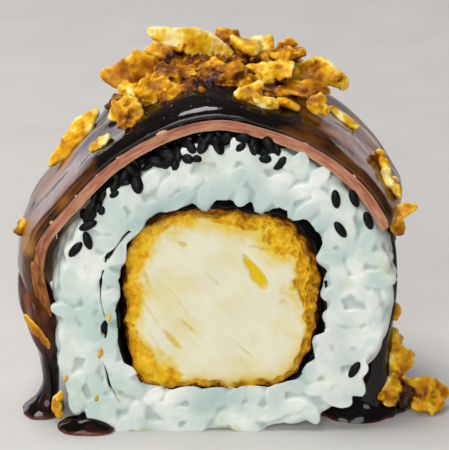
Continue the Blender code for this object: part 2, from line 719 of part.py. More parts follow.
def build_beef():
    depths = (-ROLL_DEPTH / 2, ROLL_DEPTH / 2)
    shares = (0.0, 1.0)
    beef = slab_over_arch(
        "beef", shares, depths, beef_low, beef_high, ARC_STEPS, DEPTH_ROWS, BEEF
    )
    combine(beef, stuck_flakes(), "UNION")
    return keep_largest_body(beef)


# Sauce


def lofted_drop(name, levels, grow=0.0, around=14):
    """A sauce run: level ellipses stacked upwards, each (z, x, y, half length in x, in y)."""
    shape = bmesh.new()
    rings = []
    for z, x, y, half_x, half_y in levels:
        ring = []
        for step in range(around):
            angle = 2 * math.pi * step / around
            across, along = math.cos(angle), math.sin(angle)
            ring.append(shape.verts.new((x + (half_x + grow) * across, y + (half_y + grow) * along, z)))
        rings.append(ring)
    for lower, upper in zip(rings, rings[1:]):
        for step in range(around):
            after = (step + 1) % around
            shape.faces.new((lower[step], lower[after], upper[after], upper[step]))
    shape.faces.new(rings[0])
    shape.faces.new(rings[-1])
    return finish(name, shape, SAUCE)


def puddle(grow):
    """The puddle under the rice's front left corner."""
    levels = [(0.0, 4.4, 3.2), (0.4, 4.5, 3.3), (1.1, 3.6, 2.8), (1.8, 2.3, 2.0), (2.3, 0.9, 0.9)]
    top = grow
    stack = [(z + (top if z > 0 else -2 * top), -19.3, -11.6, a, b) for z, a, b in levels]
    return lofted_drop("sauce_puddle", stack, grow, 14)


def right_pool(grow):
    """The pool at the right foot of the roll, drawn up along the rice."""
    levels = [
        (-2 * grow, 19.0, -3.4, 8.2, 6.8),
        (0.5 + grow, 19.2, -3.4, 8.0, 6.6),
        (1.2 + grow, 19.6, -3.6, 6.9, 6.0),
        (2.0, 20.0, -4.0, 4.8, 5.0),
        (3.6, 20.7, -4.4, 3.5, 4.4),
        (7.0, 21.3, -4.8, 2.5, 3.9),
        (11.0, 22.2, -5.2, 2.1, 3.2),
        (14.5, 23.1, -5.6, 1.5, 2.2),
        (19.0, 23.9, -6.0, 1.1, 1.3),
        (24.0 + grow, 24.2, -6.2, 0.8, 0.9),
    ]
    return lofted_drop("sauce_right", levels, grow)


def rice_clearance():
    """The rice with a margin for its grains, to cut room for the sauce beside it."""
    shape, places = bar_from_sphere(around=48, face_rings=1, side_rings=4)
    for vertex, angle, place in places:
        y = (ROLL_DEPTH / 2 + CLEARANCE) * max(-1.0, min(1.0, place))
        share = min(1.0, 2 - abs(place))
        x, z = rice_edge(angle, RICE_SWELL * depth_swell(y) + 0.45)
        z = z if z > 0 else -1.0
        vertex.co = Vector((x * share, y, RICE_MIDDLE.z + (z - RICE_MIDDLE.z) * share))
    return finish("rice_room", shape, RICE)


def build_left_drip():
    """The drip that leaves the curtain's lower end and spreads into a foot on the table."""
    levels = [
        (0.0, -26.4, -4.8, 3.2, 4.4),
        (0.4, -26.4, -4.8, 3.4, 4.6),
        (1.2, -26.0, -4.8, 2.7, 3.8),
        (2.6, -25.4, -4.8, 1.9, 3.0),
        (5.0, -25.0, -4.8, 1.6, 2.8),
        (9.0, -25.3, -4.6, 1.7, 3.2),
        (12.0, -25.8, -4.4, 1.7, 3.8),
        (14.6, -26.4, -4.2, 1.5, 4.4),
        (16.0, -26.8, -4.2, 1.2, 4.6),
    ]
    drip = lofted_drop("sauce_left", levels)
    cutters = [rice_clearance(), beef_room(-CLEARANCE, BEEF_THICKNESS + CLEARANCE)]
    combine(drip, cutters + stuck_flakes(1.5 * CLEARANCE), "DIFFERENCE")
    return keep_largest_body(drip)


def build_right_pool():
    pool = right_pool(0.0)
    combine(pool, [rice_clearance(), beef_room(-3.0, BEEF_THICKNESS + CLEARANCE)], "DIFFERENCE")
    return keep_largest_body(pool)


def build_puddle():
    made = puddle(0.0)
    return made


clear_scene()
RICE = material("sushi_rice", RICE_WHITE, 0.45)
NORI = material("nori", NORI_GREEN, 0.5)
CUTLET = material("fried_cutlet", CUTLET_CREAM, 0.6)
BEEF = material("seared_beef", MEAT_RED, 0.45)
CRISP = material("crisp_onion", CRISP_GOLD, 0.55)
SAUCE = material("soy_glaze", SAUCE_BROWN, 0.12)

build_rice()
nori_strip("nori", NORI_THICKNESS, 0.0)
build_cutlet()
build_beef()
build_heap()
build_left_crisp()
build_right_crisps()
build_left_drip()
build_puddle()
build_right_pool()
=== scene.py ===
import math
import random

import bmesh
import bpy
import numpy as np
from mathutils import Matrix, Vector, noise
from mathutils.kdtree import KDTree


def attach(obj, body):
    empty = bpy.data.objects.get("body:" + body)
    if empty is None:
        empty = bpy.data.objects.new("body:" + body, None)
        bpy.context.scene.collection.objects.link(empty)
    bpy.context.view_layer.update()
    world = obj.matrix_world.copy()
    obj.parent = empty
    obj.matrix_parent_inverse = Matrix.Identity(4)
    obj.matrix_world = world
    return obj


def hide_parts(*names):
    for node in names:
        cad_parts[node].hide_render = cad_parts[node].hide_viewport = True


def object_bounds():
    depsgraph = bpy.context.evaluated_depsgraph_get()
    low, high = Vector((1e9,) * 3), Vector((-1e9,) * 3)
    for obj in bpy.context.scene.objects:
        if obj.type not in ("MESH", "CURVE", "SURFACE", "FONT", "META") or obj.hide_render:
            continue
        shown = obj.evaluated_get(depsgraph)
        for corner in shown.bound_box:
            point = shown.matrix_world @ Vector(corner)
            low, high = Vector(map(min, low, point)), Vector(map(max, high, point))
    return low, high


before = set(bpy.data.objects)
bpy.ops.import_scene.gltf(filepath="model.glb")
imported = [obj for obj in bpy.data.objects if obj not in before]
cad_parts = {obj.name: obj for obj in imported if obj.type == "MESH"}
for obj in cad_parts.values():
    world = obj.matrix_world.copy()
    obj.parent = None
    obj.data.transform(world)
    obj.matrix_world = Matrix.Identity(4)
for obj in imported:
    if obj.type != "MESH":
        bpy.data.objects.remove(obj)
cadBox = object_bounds()

# Lengths are in millimetres round the roll's own middle, and turn to metres when a mesh is finished
mm = 0.001
rollShift = np.array((-1.55, 0.9, 0.0))
rollDepth = 26.0

riceForm = {"middleZ": 22.0, "halfWidth": 23.0, "rise": 21.2, "drop": 22.3, "corners": (1.9, 1.7, 5.0, 2.3), "swell": 1.5}
cutletForm = {"middle": (-0.3, 20.1), "halfWidth": 14.0, "halfHeight": 13.6, "corners": (2.9, 2.7, 4.0, 3.2)}
noriForm = {
    "thickness": 0.4,
    "start": 150.0,
    "leaves": 495.0,
    "end": 587.0,
    # angle along the wound sheet, and how far its tail has left the cutlet there
    "rise": (
        (495, 0.0), (503, 0.55), (508, 0.8), (518, 1.45), (530, 1.8), (543, 2.0),
        (551, 1.7), (560, 1.65), (567, 2.75), (575, 3.15), (587, 3.5),
    ),
    "folds": ((518.5, 3.5, 0.6), (555.5, 5.0, 1.0)),  # angle, half width, how much thicker the doubled sheet is
}
beefForm = {
    "thickness": 2.2,
    "arc": 84.0,  # length along the slice
    "swell": 2.7,
    "rightAngle": 20.0,
    "leftAngle": 148.0,
    "wave": 0.35,
    "endRounding": 0.03,
    "cutEdge": 1.6,  # thickness that shows at the cut faces; the rest rounds over under the glaze
    "curtain": ((-23.5, 29.0), (-24.7, 26.2), (-25.0, 23.2), (-24.8, 19.8), (-24.2, 15.6)),
}


def hexColour(text):
    # sRGB hex to the linear values that a shader takes
    parts = [int(text[i:i + 2], 16) / 255 for i in (1, 3, 5)]
    return tuple(c / 12.92 if c <= 0.04045 else ((c + 0.055) / 1.055) ** 2.4 for c in parts) + (1.0,)


def setInputs(tree, node, inputs):
    # an input takes a plain value, a socket to link from, or a node that gives its first live output
    for key, value in inputs.items():
        if isinstance(value, bpy.types.Node):
            value = next(socket for socket in value.outputs if socket.enabled)
        if isinstance(value, bpy.types.NodeSocket):
            tree.links.new(value, node.inputs[key])
        else:
            node.inputs[key].default_value = value


def addNode(tree, kind, settings=None, inputs=None):
    # one node with its settings and links
    node = tree.nodes.new(kind)
    for key, value in (settings or {}).items():
        if key == "stops":
            ramp = node.color_ramp
            while len(ramp.elements) < len(value):
                ramp.elements.new(1.0)
            for element, (place, colour) in zip(ramp.elements, value):
                element.position = place
                element.color = hexColour(colour)
        else:
            setattr(node, key, value)
    setInputs(tree, node, inputs or {})
    return node


def smoothStep(value, low, high):
    share = np.clip((np.asarray(value, dtype=float) - low) / (high - low), 0.0, 1.0)
    return share * share * (3 - 2 * share)


def xyz(across, depth, up):
    # points from their three parts, where a single number goes for them all
    return np.stack(np.broadcast_arrays(across, depth, up), axis=-1)


def lumps(points, size, seed=0.0, octaves=1):
    # smooth random field of about -1 to 1; its lumps are about `size` mm across, and each octave halves them
    points = np.asarray(points, dtype=float).reshape(-1, 3)
    total = np.zeros(len(points))
    for octave in range(octaves):
        scaled = points * (2 ** octave / size) + (seed * 7.13 + octave * 3.7)
        total += np.array([noise.noise(p) for p in scaled.tolist()]) / 2 ** octave
    return total


def ridges(points, size, seed=0.0, octaves=3):
    # sharp crests and torn edges, from about 0 in the hollows to 1 on the crests
    total, weight = 0.0, 0.0
    for octave in range(octaves):
        layer = 1 - 2 * np.abs(lumps(points, size / 2 ** octave, seed + 3.1 * octave))
        total = total + layer / 2 ** octave
        weight += 1 / 2 ** octave
    return total / weight


def curveThrough(points, share):
    # smooth curve through the points, for an array of shares from 0 to 1
    points = np.asarray(points, dtype=float)
    spans = len(points) - 1
    share = np.atleast_1d(np.asarray(share, dtype=float))
    span = np.clip((share * spans).astype(int), 0, spans - 1)
    local = (share * spans - span)[:, None]
    a, b, c, d = (points[np.clip(span + step, 0, spans)] for step in (-1, 0, 1, 2))
    return 0.5 * (2 * b + (c - a) * local + (2 * a - 5 * b + 4 * c - d) * local ** 2
                  + (3 * b - a - 3 * c + d) * local ** 3)


def edgeSpaced(low, high, count):
    # closer together towards both ends
    return (low + high) / 2 - (high - low) / 2 * np.cos(np.linspace(0, np.pi, count))


def tableAt(degrees, table):
    return np.interp(degrees, *zip(*table))


def gridFaces(rows, columns, wrapped=False, start=0, flipped=False):
    faces = []
    for row in range(rows - 1):
        for column in range(columns if wrapped else columns - 1):
            after = (column + 1) % columns
            near, far = row * columns, (row + 1) * columns
            corners = (near + column, near + after, far + after, far + column)
            faces.append(tuple(start + c for c in (reversed(corners) if flipped else corners)))
    return faces


def slabFaces(rows, columns, turned=False):
    # a closed slab: two grids of points, one after the other, joined round their rims
    count = rows * columns
    order = np.arange(count).reshape(rows, columns)
    order = order.T if turned else order
    rim = [*order[:, 0].tolist(), *order[-1, 1:].tolist(), *order[-2::-1, -1].tolist(), *order[0, -2:0:-1].tolist()]
    faces = gridFaces(rows, columns) + gridFaces(rows, columns, start=count, flipped=True)
    return faces + [(a, b, b + count, a + count) for a, b in zip(rim, rim[1:] + rim[:1])]


def drumFaces(rings, around):
    # a closed stack of rings with flat ends
    ends = [tuple(range(around)), tuple(range((rings - 1) * around, rings * around))]
    return gridFaces(rings, around, wrapped=True) + ends


def fannedFaces(rings, around):
    # a closed stack of rings whose ends run in to two more points
    count = rings * around
    faces = gridFaces(rings, around, wrapped=True)
    faces += [(count, (i + 1) % around, i) for i in range(around)]
    return faces + [(count + 1, count - around + i, count - around + (i + 1) % around) for i in range(around)]


def addObject(name, mesh, material=None):
    mesh.shade_smooth()
    mesh.materials.clear()
    if material:
        mesh.materials.append(material)
    made = bpy.data.objects.new(name, mesh)
    bpy.context.scene.collection.objects.link(made)
    return made


def fromShape(name, shape, material=None):
    mesh = bpy.data.meshes.new(name)
    shape.to_mesh(mesh)
    shape.free()
    return addObject(name, mesh, material)


def meshObject(name, points, faces, material=None, closed=True):
    # a mesh in metres, in its place, with its faces pointing out
    mesh = bpy.data.meshes.new(name)
    mesh.from_pydata(((np.asarray(points, dtype=float) + rollShift) * mm).tolist(), [], faces)
    if closed:
        shape = bmesh.new()
        shape.from_mesh(mesh)
        bmesh.ops.recalc_face_normals(shape, faces=shape.faces)
        if shape.calc_volume(signed=True) < 0:
            bmesh.ops.reverse_faces(shape, faces=shape.faces)
        shape.to_mesh(mesh)
        shape.free()
    return addObject(name, mesh, material)


def addBall(shape, place, turn, halves, segments, rings):
    # a squashed ball at a place in millimetres
    squashed = turn @ Matrix.Diagonal((*(half * mm for half in halves), 1))
    moved = Matrix.Translation((np.asarray(place) + rollShift) * mm) @ squashed
    bmesh.ops.create_uvsphere(shape, u_segments=segments, v_segments=rings, radius=1, matrix=moved)


def removeObjects(*objects):
    for obj in objects:
        bpy.data.objects.remove(obj, do_unlink=True)


def joined(name, objects, material=None):
    # one mesh from several, which are removed
    shape = bmesh.new()
    for obj in objects:
        shape.from_mesh(obj.data)
    removeObjects(*objects)
    return fromShape(name, shape, material)


def readVectors(obj, key):
    flat = np.empty(len(obj.data.vertices) * 3)
    obj.data.vertices.foreach_get(key, flat)
    return flat.reshape(-1, 3)


def readPoints(obj):
    return readVectors(obj, "co") / mm - rollShift


def writePoints(obj, points):
    obj.data.vertices.foreach_set("co", ((points + rollShift) * mm).ravel())
    obj.data.update()


def writeAttribute(obj, name, values):
    layer = obj.data.attributes.get(name) or obj.data.attributes.new(name, "FLOAT", "POINT")
    layer.data.foreach_set("value", np.asarray(values, dtype=np.float32))


def bake(obj):
    # the object's mesh becomes what its modifiers make of it
    mesh = bpy.data.meshes.new_from_object(obj.evaluated_get(bpy.context.evaluated_depsgraph_get()))
    obj.modifiers.clear()
    old = obj.data
    obj.data = mesh
    bpy.data.meshes.remove(old)
    return obj


def shaped(obj, kind, **settings):
    # what one modifier makes of the object
    modifier = obj.modifiers.new(kind.lower(), kind)
    for key, value in settings.items():
        setattr(modifier, key, value)
    return bake(obj)


def hollowness(obj, passes):
    # about 0 on flat places, above 0 in creases and below 0 on crests, from each vertex's neighbours
    points, normals = readPoints(obj), readVectors(obj, "normal")
    ends = np.empty(len(obj.data.edges) * 2, dtype=np.int64)
    obj.data.edges.foreach_get("vertices", ends)
    one, two = ends.reshape(-1, 2).T
    count = np.bincount(one, minlength=len(points)) + np.bincount(two, minlength=len(points))
    count = np.maximum(count, 1)[:, None]
    middle = points
    for _ in range(passes):
        total = np.zeros_like(middle)
        np.add.at(total, one, middle[two])
        np.add.at(total, two, middle[one])
        middle = total / count
    return np.einsum("ij,ij->i", middle - points, normals)


def cornerRadius(angle, halfWidth, rise, drop, corners):
    across, up = np.cos(angle), np.sin(angle)
    power = np.asarray(corners)[((angle % (2 * np.pi)) // (np.pi / 2)).astype(int) % 4]
    height = np.where(up >= 0, rise, drop)
    return (np.abs(across / halfWidth) ** power + np.abs(up / height) ** power) ** (-1 / power)


def riceRadius(angle):
    return cornerRadius(angle, riceForm["halfWidth"], riceForm["rise"], riceForm["drop"], riceForm["corners"])


def riceEdge(angle, swell=0.0):
    radius = riceRadius(angle) + swell
    return radius * np.cos(angle), np.maximum(0.0, riceForm["middleZ"] + radius * np.sin(angle))


def cutletRadius(angle):
    halfHeight = cutletForm["halfHeight"]
    radius = cornerRadius(angle, cutletForm["halfWidth"], halfHeight, halfHeight, cutletForm["corners"])
    return radius + 0.5 * lumps(xyz(2.2 * np.cos(angle), 2.2 * np.sin(angle), 4.0), 1.0) - 0.25


def tailShare(degrees):
    # 0 on the first turn of the sheet, 1 on the tail that leaves it
    return smoothStep(degrees, noriForm["leaves"], noriForm["leaves"] + 25)


def noriSlack(angle):
    return np.maximum(0.0, 0.35 + 0.35 * np.sin(2 * angle + 0.6) + 0.2 * np.sin(5 * angle))


def noriPoint(degrees, outwards=0.0, tail=True):
    angle = np.radians(degrees)
    radius = cutletRadius(angle) + 0.3 + noriForm["thickness"] / 2 + noriSlack(angle)
    if tail:
        radius = radius + tableAt(degrees, noriForm["rise"])
        radius = radius + 0.45 * tailShare(degrees) * lumps(xyz(degrees / 16.0, 1.7, 0.4), 1.0, 5.0, 2)
    radius = radius + outwards
    return cutletForm["middle"][0] + radius * np.cos(angle), cutletForm["middle"][1] + radius * np.sin(angle)


def noriFolded(degrees):
    # above 0 where the tail is doubled over on itself
    folds = (extra * smoothStep(np.abs(degrees - at), half, 0.4 * half) for at, half, extra in noriForm["folds"])
    return np.maximum(*folds)


def depthSwell(y):
    return 1 - np.minimum(1.0, np.abs(2 * np.asarray(y) / rollDepth)) ** 2.2


def beefPath():
    degrees = np.linspace(beefForm["rightAngle"], beefForm["leftAngle"], 10)
    angle = np.radians(degrees)
    reach = riceRadius(angle) + 0.5 + 0.9 * smoothStep(degrees, 70, 100)
    arch = np.stack([reach * np.cos(angle), riceForm["middleZ"] + reach * np.sin(angle)], axis=-1)
    return np.vstack([arch, np.array(beefForm["curtain"])])


def beefPlace(share, y, height):
    # points of the beef at shares along its arc and depths y, this high above its underside, and the way out
    path = beefPath()
    share, y = np.asarray(share, dtype=float), np.asarray(y, dtype=float)
    here = curveThrough(path, share)
    across = curveThrough(path, np.minimum(1.0, share + 0.01)) - curveThrough(path, np.maximum(0.0, share - 0.01))
    across /= np.linalg.norm(across, axis=1)[:, None]
    out = np.stack([across[:, 1], -across[:, 0]], axis=-1)
    wave = lumps(xyz(9 * share, 0.12 * y, 2.0), 1.0) * beefForm["wave"]
    swell = beefForm["swell"] * depthSwell(y) * (0.85 + 0.15 * np.sin(2 * np.pi * share))
    flat = here + out * (height + swell + wave * depthSwell(y))[:, None]
    drawnIn = 1 - 0.36 * smoothStep(share, 0.76, 1.0)  # the hanging end narrows to the drip
    return xyz(flat[:, 0], y * drawnIn, flat[:, 1]), xyz(out[:, 0], 0.0, out[:, 1])


perMetre = 1000.0  # a pattern's scale is this over its size in millimetres
blending = {"data_type": "RGBA"}
darkening = {"data_type": "RGBA", "blend_type": "MULTIPLY"}


def newMaterial(name):
    made = bpy.data.materials.new(name)
    made.use_nodes = True
    tree = made.node_tree
    return made, tree, tree.nodes["Principled BSDF"], addNode(tree, "ShaderNodeTexCoord").outputs["Object"]


def cookedRice():
    # Steamed short-grain rice: milky, translucent, moist; painted cool shade near the nori and painted shade in the
    # creases between grains
    made, tree, shader, place = newMaterial("cookedRice")
    tone, cool, olive, crease = (
        addNode(tree, "ShaderNodeAttribute", {"attribute_name": name}).outputs["Fac"]
        for name in ("tone", "cool", "olive", "crease")
    )
    broad, fine = (
        addNode(tree, "ShaderNodeTexNoise", inputs={
            "Vector": place, "Scale": perMetre / size, "Detail": detail, "Roughness": rough,
        })
        for size, detail, rough in ((7.0, 3.0, 0.5), (0.9, 4.0, 0.6))
    )
    lifted = addNode(tree, "ShaderNodeMath", {"operation": "MULTIPLY_ADD"}, {0: tone, 1: 0.09, 2: broad})
    milk = ((0.30, "#C6D9D1"), (0.52, "#E4EBE2"), (0.72, "#F4F6EE"))
    colour = addNode(tree, "ShaderNodeValToRGB", {"stops": milk}, {"Fac": lifted})
    # cool tint with painted shade near the nori, olive grains, and painted shade in the creases
    for share, tint in ((cool, "#A3BDBC"), (olive, "#BCC48E"), (crease, "#92A8A1")):
        colour = addNode(tree, "ShaderNodeMix", blending, {0: share, 6: colour, 7: hexColour(tint)})
    bump = addNode(tree, "ShaderNodeBump", inputs={"Strength": 0.25, "Distance": 0.0002, "Height": fine})
    setInputs(tree, shader, {
        "Base Color": colour, "Normal": bump, "Roughness": 0.42, "IOR": 1.38, "Coat Weight": 0.3, "Coat Roughness": 0.22,
        "Subsurface Weight": 0.3, "Subsurface Scale": 0.001, "Subsurface Radius": (1.0, 0.95, 0.8),
    })
    return made


def darkSkin(name, size, detail, rough, stops, relief, depth, values):
    # Nori is a near-black green sheet of matted fibre with a faint sheen, and a sesame seed has a satin blue-black hull
    made, tree, shader, place = newMaterial(name)
    grain = addNode(
        tree,
        "ShaderNodeTexNoise",
        inputs={"Vector": place, "Scale": perMetre / size, "Detail": detail, "Roughness": rough},
    )
    colour = addNode(tree, "ShaderNodeValToRGB", {"stops": stops}, {"Fac": grain})
    bump = addNode(tree, "ShaderNodeBump", inputs={"Strength": relief, "Distance": depth, "Height": grain})
    setInputs(tree, shader, {"Base Color": colour, "Normal": bump, "IOR": 1.4, **values})
    return made


def friedCutlet():
    # Cutlet: cream cooked meat with fine fibres, in a golden panko coat that browns at its edge
    made, tree, shader, place = newMaterial("friedCutlet")
    coat, slit, browned, crease, stain = (
        addNode(tree, "ShaderNodeAttribute", {"attribute_name": name}).outputs["Fac"]
        for name in ("coat", "slit", "browned", "crease", "stain")
    )
    grainWay = {"Vector": place, "Rotation": (0.0, math.radians(-40), 0.0), "Scale": (1.0, 1.0, 4.5)}
    turned = addNode(tree, "ShaderNodeMapping", {"vector_type": "TEXTURE"}, grainWay).outputs["Vector"]
    fibres, broad, speckle = (
        addNode(tree, "ShaderNodeTexNoise", inputs={
            "Vector": way, "Scale": perMetre / size, "Detail": detail, "Roughness": rough,
        })
        for way, size, detail, rough in ((turned, 0.9, 4.0, 0.6), (place, 6.0, 3.0, 0.5), (place, 1.3, 4.0, 0.62))
    )
    meat, tint, golden, brown = (
        addNode(tree, "ShaderNodeValToRGB", {"stops": stops}, {"Fac": field})
        for field, stops in (
            (fibres, ((0.30, "#E6E2C2"), (0.50, "#E9E5C9"), (0.72, "#EBE8CE"))),
            (broad, ((0.46, "#FFFFFF"), (0.72, "#FBF3D2"))),
            (speckle, ((0.26, "#C08400"), (0.42, "#E3AA04"), (0.58, "#F0C21C"), (0.76, "#F7DC66"))),
            (speckle, ((0.26, "#2A1200"), (0.42, "#6E3A00"), (0.58, "#A86400"), (0.78, "#D9980C"))),
        )
    )
    crust = addNode(tree, "ShaderNodeMix", blending, {0: browned, 6: golden, 7: brown})
    colour = meat
    for settings, share, laid in (
        (darkening, 1.0, tint),
        (blending, stain, hexColour("#E5C648")),
        (blending, slit, hexColour("#E4C400")),
        (blending, coat, crust),
        # painted shade in the crevices, mostly in the coat
        (darkening, crease, hexColour("#B07A10")),
    ):
        colour = addNode(tree, "ShaderNodeMix", settings, {0: share, 6: colour, 7: laid})
    crumb = addNode(tree, "ShaderNodeMath", {"operation": "MULTIPLY"}, {0: coat, 1: speckle})
    relief = addNode(tree, "ShaderNodeMath", {"operation": "MULTIPLY_ADD"}, {0: fibres, 1: 0.08, 2: crumb})
    bump = addNode(tree, "ShaderNodeBump", inputs={"Strength": 0.5, "Distance": 0.0003, "Height": relief})
    setInputs(tree, shader, {
        "Base Color": colour, "Normal": bump, "Roughness": 0.5, "IOR": 1.38, "Specular IOR Level": 0.35,
        "Subsurface Weight": 0.15, "Subsurface Scale": 0.001, "Subsurface Radius": (1.0, 0.75, 0.3),
    })
    return made


def searedBeef():
    # Thin seared beef: rosy brown fibres on the cut edge, paler fat lines, wet; amber where syrup has soaked in
    made, tree, shader, place = newMaterial("searedBeef")
    along = addNode(tree, "ShaderNodeUVMap")
    stretched = addNode(tree, "ShaderNodeMapping", inputs={"Vector": along, "Scale": (0.16, 1.0, 1.0)}).outputs["Vector"]
    fibres, speckle = (
        addNode(tree, "ShaderNodeTexNoise", inputs={
            "Vector": way, "Scale": scale, "Detail": detail, "Roughness": rough, "Distortion": bent,
        })
        for way, scale, detail, rough, bent in ((stretched, 1.7, 5.0, 0.6, 0.4), (place, perMetre / 0.6, 4.0, 0.65, 0.0))
    )
    margin, soaked = (
        addNode(tree, "ShaderNodeAttribute", {"attribute_name": name}).outputs["Fac"] for name in ("margin", "soaked")
    )
    rosy, syrup = (
        addNode(tree, "ShaderNodeValToRGB", {"stops": stops}, {"Fac": fibres})
        for stops in (
            ((0.28, "#8E4630"), (0.44, "#BC7052"), (0.58, "#CD8E6A"), (0.78, "#E4BA90")),
            ((0.36, "#5A2808"), (0.5, "#A05C14"), (0.66, "#C8842C")),
        )
    )
    pale = addNode(tree, "ShaderNodeMix", blending, {0: margin, 6: rosy, 7: hexColour("#DDB285")})
    steeped = addNode(tree, "ShaderNodeMix", blending, {0: soaked, 6: pale, 7: syrup})
    dotted = addNode(tree, "ShaderNodeMix", darkening, {0: 0.22, 6: steeped, 7: speckle.outputs["Color"]})
    height = addNode(tree, "ShaderNodeMath", {"operation": "ADD"}, {0: fibres, 1: speckle})
    bump = addNode(tree, "ShaderNodeBump", inputs={"Strength": 0.5, "Distance": 0.0003, "Height": height})
    setInputs(tree, shader, {
        "Base Color": dotted, "Normal": bump, "Roughness": 0.4, "IOR": 1.4, "Coat Weight": 0.25, "Coat Roughness": 0.2,
        "Subsurface Weight": 0.12, "Subsurface Scale": 0.001, "Subsurface Radius": (1.0, 0.4, 0.25),
    })
    return made


def sweetSoyGlaze(name, colours, roughness, specular, coatWeight):
    # Reduced sweet soy: a syrup, near-black where deep and amber where thin, with a mirror-wet surface
    made, tree, shader, place = newMaterial(name)
    thin = addNode(tree, "ShaderNodeAttribute", {"attribute_name": "thin"}).outputs["Fac"]
    swirl, fine = (
        addNode(tree, "ShaderNodeTexNoise", inputs={"Vector": place, "Scale": perMetre / size, "Detail": 2.0, "Distortion": bent})
        for size, bent in ((6.0, 1.0), (2.2, 0.0))
    )
    shift = addNode(tree, "ShaderNodeMath", {"operation": "MULTIPLY_ADD"}, {0: swirl, 1: 0.3, 2: -0.18})
    total = addNode(tree, "ShaderNodeMath", {"operation": "ADD", "use_clamp": True}, {0: thin, 1: shift})
    colour = addNode(tree, "ShaderNodeValToRGB", {"stops": tuple(zip((0.1, 0.5, 0.9), colours))}, {"Fac": total})
    bump = addNode(tree, "ShaderNodeBump", inputs={"Strength": 0.3, "Distance": 0.0004, "Height": fine})
    wet = addNode(
        tree,
        "ShaderNodeMapRange",
        inputs={"Value": total, "From Min": 0.15, "From Max": 0.9, "To Min": roughness, "To Max": 0.45},
    )
    setInputs(tree, shader, {
        "Base Color": colour, "Normal": bump, "Roughness": wet, "IOR": 1.45,
        "Specular IOR Level": specular, "Coat Weight": coatWeight, "Coat Roughness": 0.12,
    })
    return made


def friedOnion():
    # Crisp fried onion in batter: pale cream to deep gold, amber where it caught, glossy with oil; with painted shade
    # on the undersides and in the creases, and painted highlights on the crests and tops
    made, tree, shader, place = newMaterial("friedOnion")
    toast, crease = (
        addNode(tree, "ShaderNodeAttribute", {"attribute_name": name}).outputs["Fac"] for name in ("toast", "crease")
    )
    patches, grit = (
        addNode(tree, "ShaderNodeTexNoise", inputs={
            "Vector": place, "Scale": perMetre / size, "Detail": detail, "Roughness": 0.6,
        })
        for size, detail in ((2.6, 5.0), (0.9, 3.0))
    )
    spread = addNode(tree, "ShaderNodeMath", {"operation": "MULTIPLY_ADD"}, {0: patches, 1: 0.9, 2: -0.45})
    share = addNode(tree, "ShaderNodeMath", {"operation": "ADD", "use_clamp": True}, {0: toast, 1: spread})
    fried = ((0.0, "#F6E6A2"), (0.13, "#F0C430"), (0.33, "#DC9C04"), (0.53, "#B26E00"), (0.74, "#703A00"), (1.0, "#1E0C00"))
    colour = addNode(tree, "ShaderNodeValToRGB", {"stops": fried}, {"Fac": share})
    # painted shade in the creases
    shaded = addNode(tree, "ShaderNodeMix", darkening, {0: crease, 6: colour, 7: hexColour("#6E3E04")})
    bump = addNode(tree, "ShaderNodeBump", inputs={"Strength": 0.45, "Distance": 0.0003, "Height": grit})
    setInputs(tree, shader, {
        "Base Color": shaded, "Normal": bump, "Roughness": 0.4, "IOR": 1.42, "Specular IOR Level": 0.28,
        "Subsurface Weight": 0.12, "Subsurface Scale": 0.0008, "Subsurface Radius": (1.0, 0.6, 0.15),
    })
    return made


riceFinish = cookedRice()
noriFinish = darkSkin(
    "toastedSeaweed", 1.4, 5.0, 0.65, ((0.35, "#060A08"), (0.6, "#101812"), (0.8, "#24301A")), 0.5, 0.0002,
    {"Roughness": 0.7, "Specular IOR Level": 0.3},
)
seedFinish = darkSkin(
    "blackSesame", 0.5, 3.0, 0.5, ((0.35, "#020303"), (0.8, "#0D0F10")), 0.4, 0.0001,
    {"Roughness": 0.42, "Specular IOR Level": 0.26},
)
cutletFinish = friedCutlet()
beefFinish = searedBeef()
crispFinish = friedOnion()
glazeFinish = sweetSoyGlaze("sweetSoyGlaze", ("#0C0604", "#643608", "#A26C22"), 0.07, 0.38, 0.24)
dripFinish = sweetSoyGlaze("sweetSoyDrip", ("#0C0707", "#54281C", "#B0601C"), 0.1, 0.32, 0.12)


ringShare = 0.67  # rings of a scattered ball for each of its sides


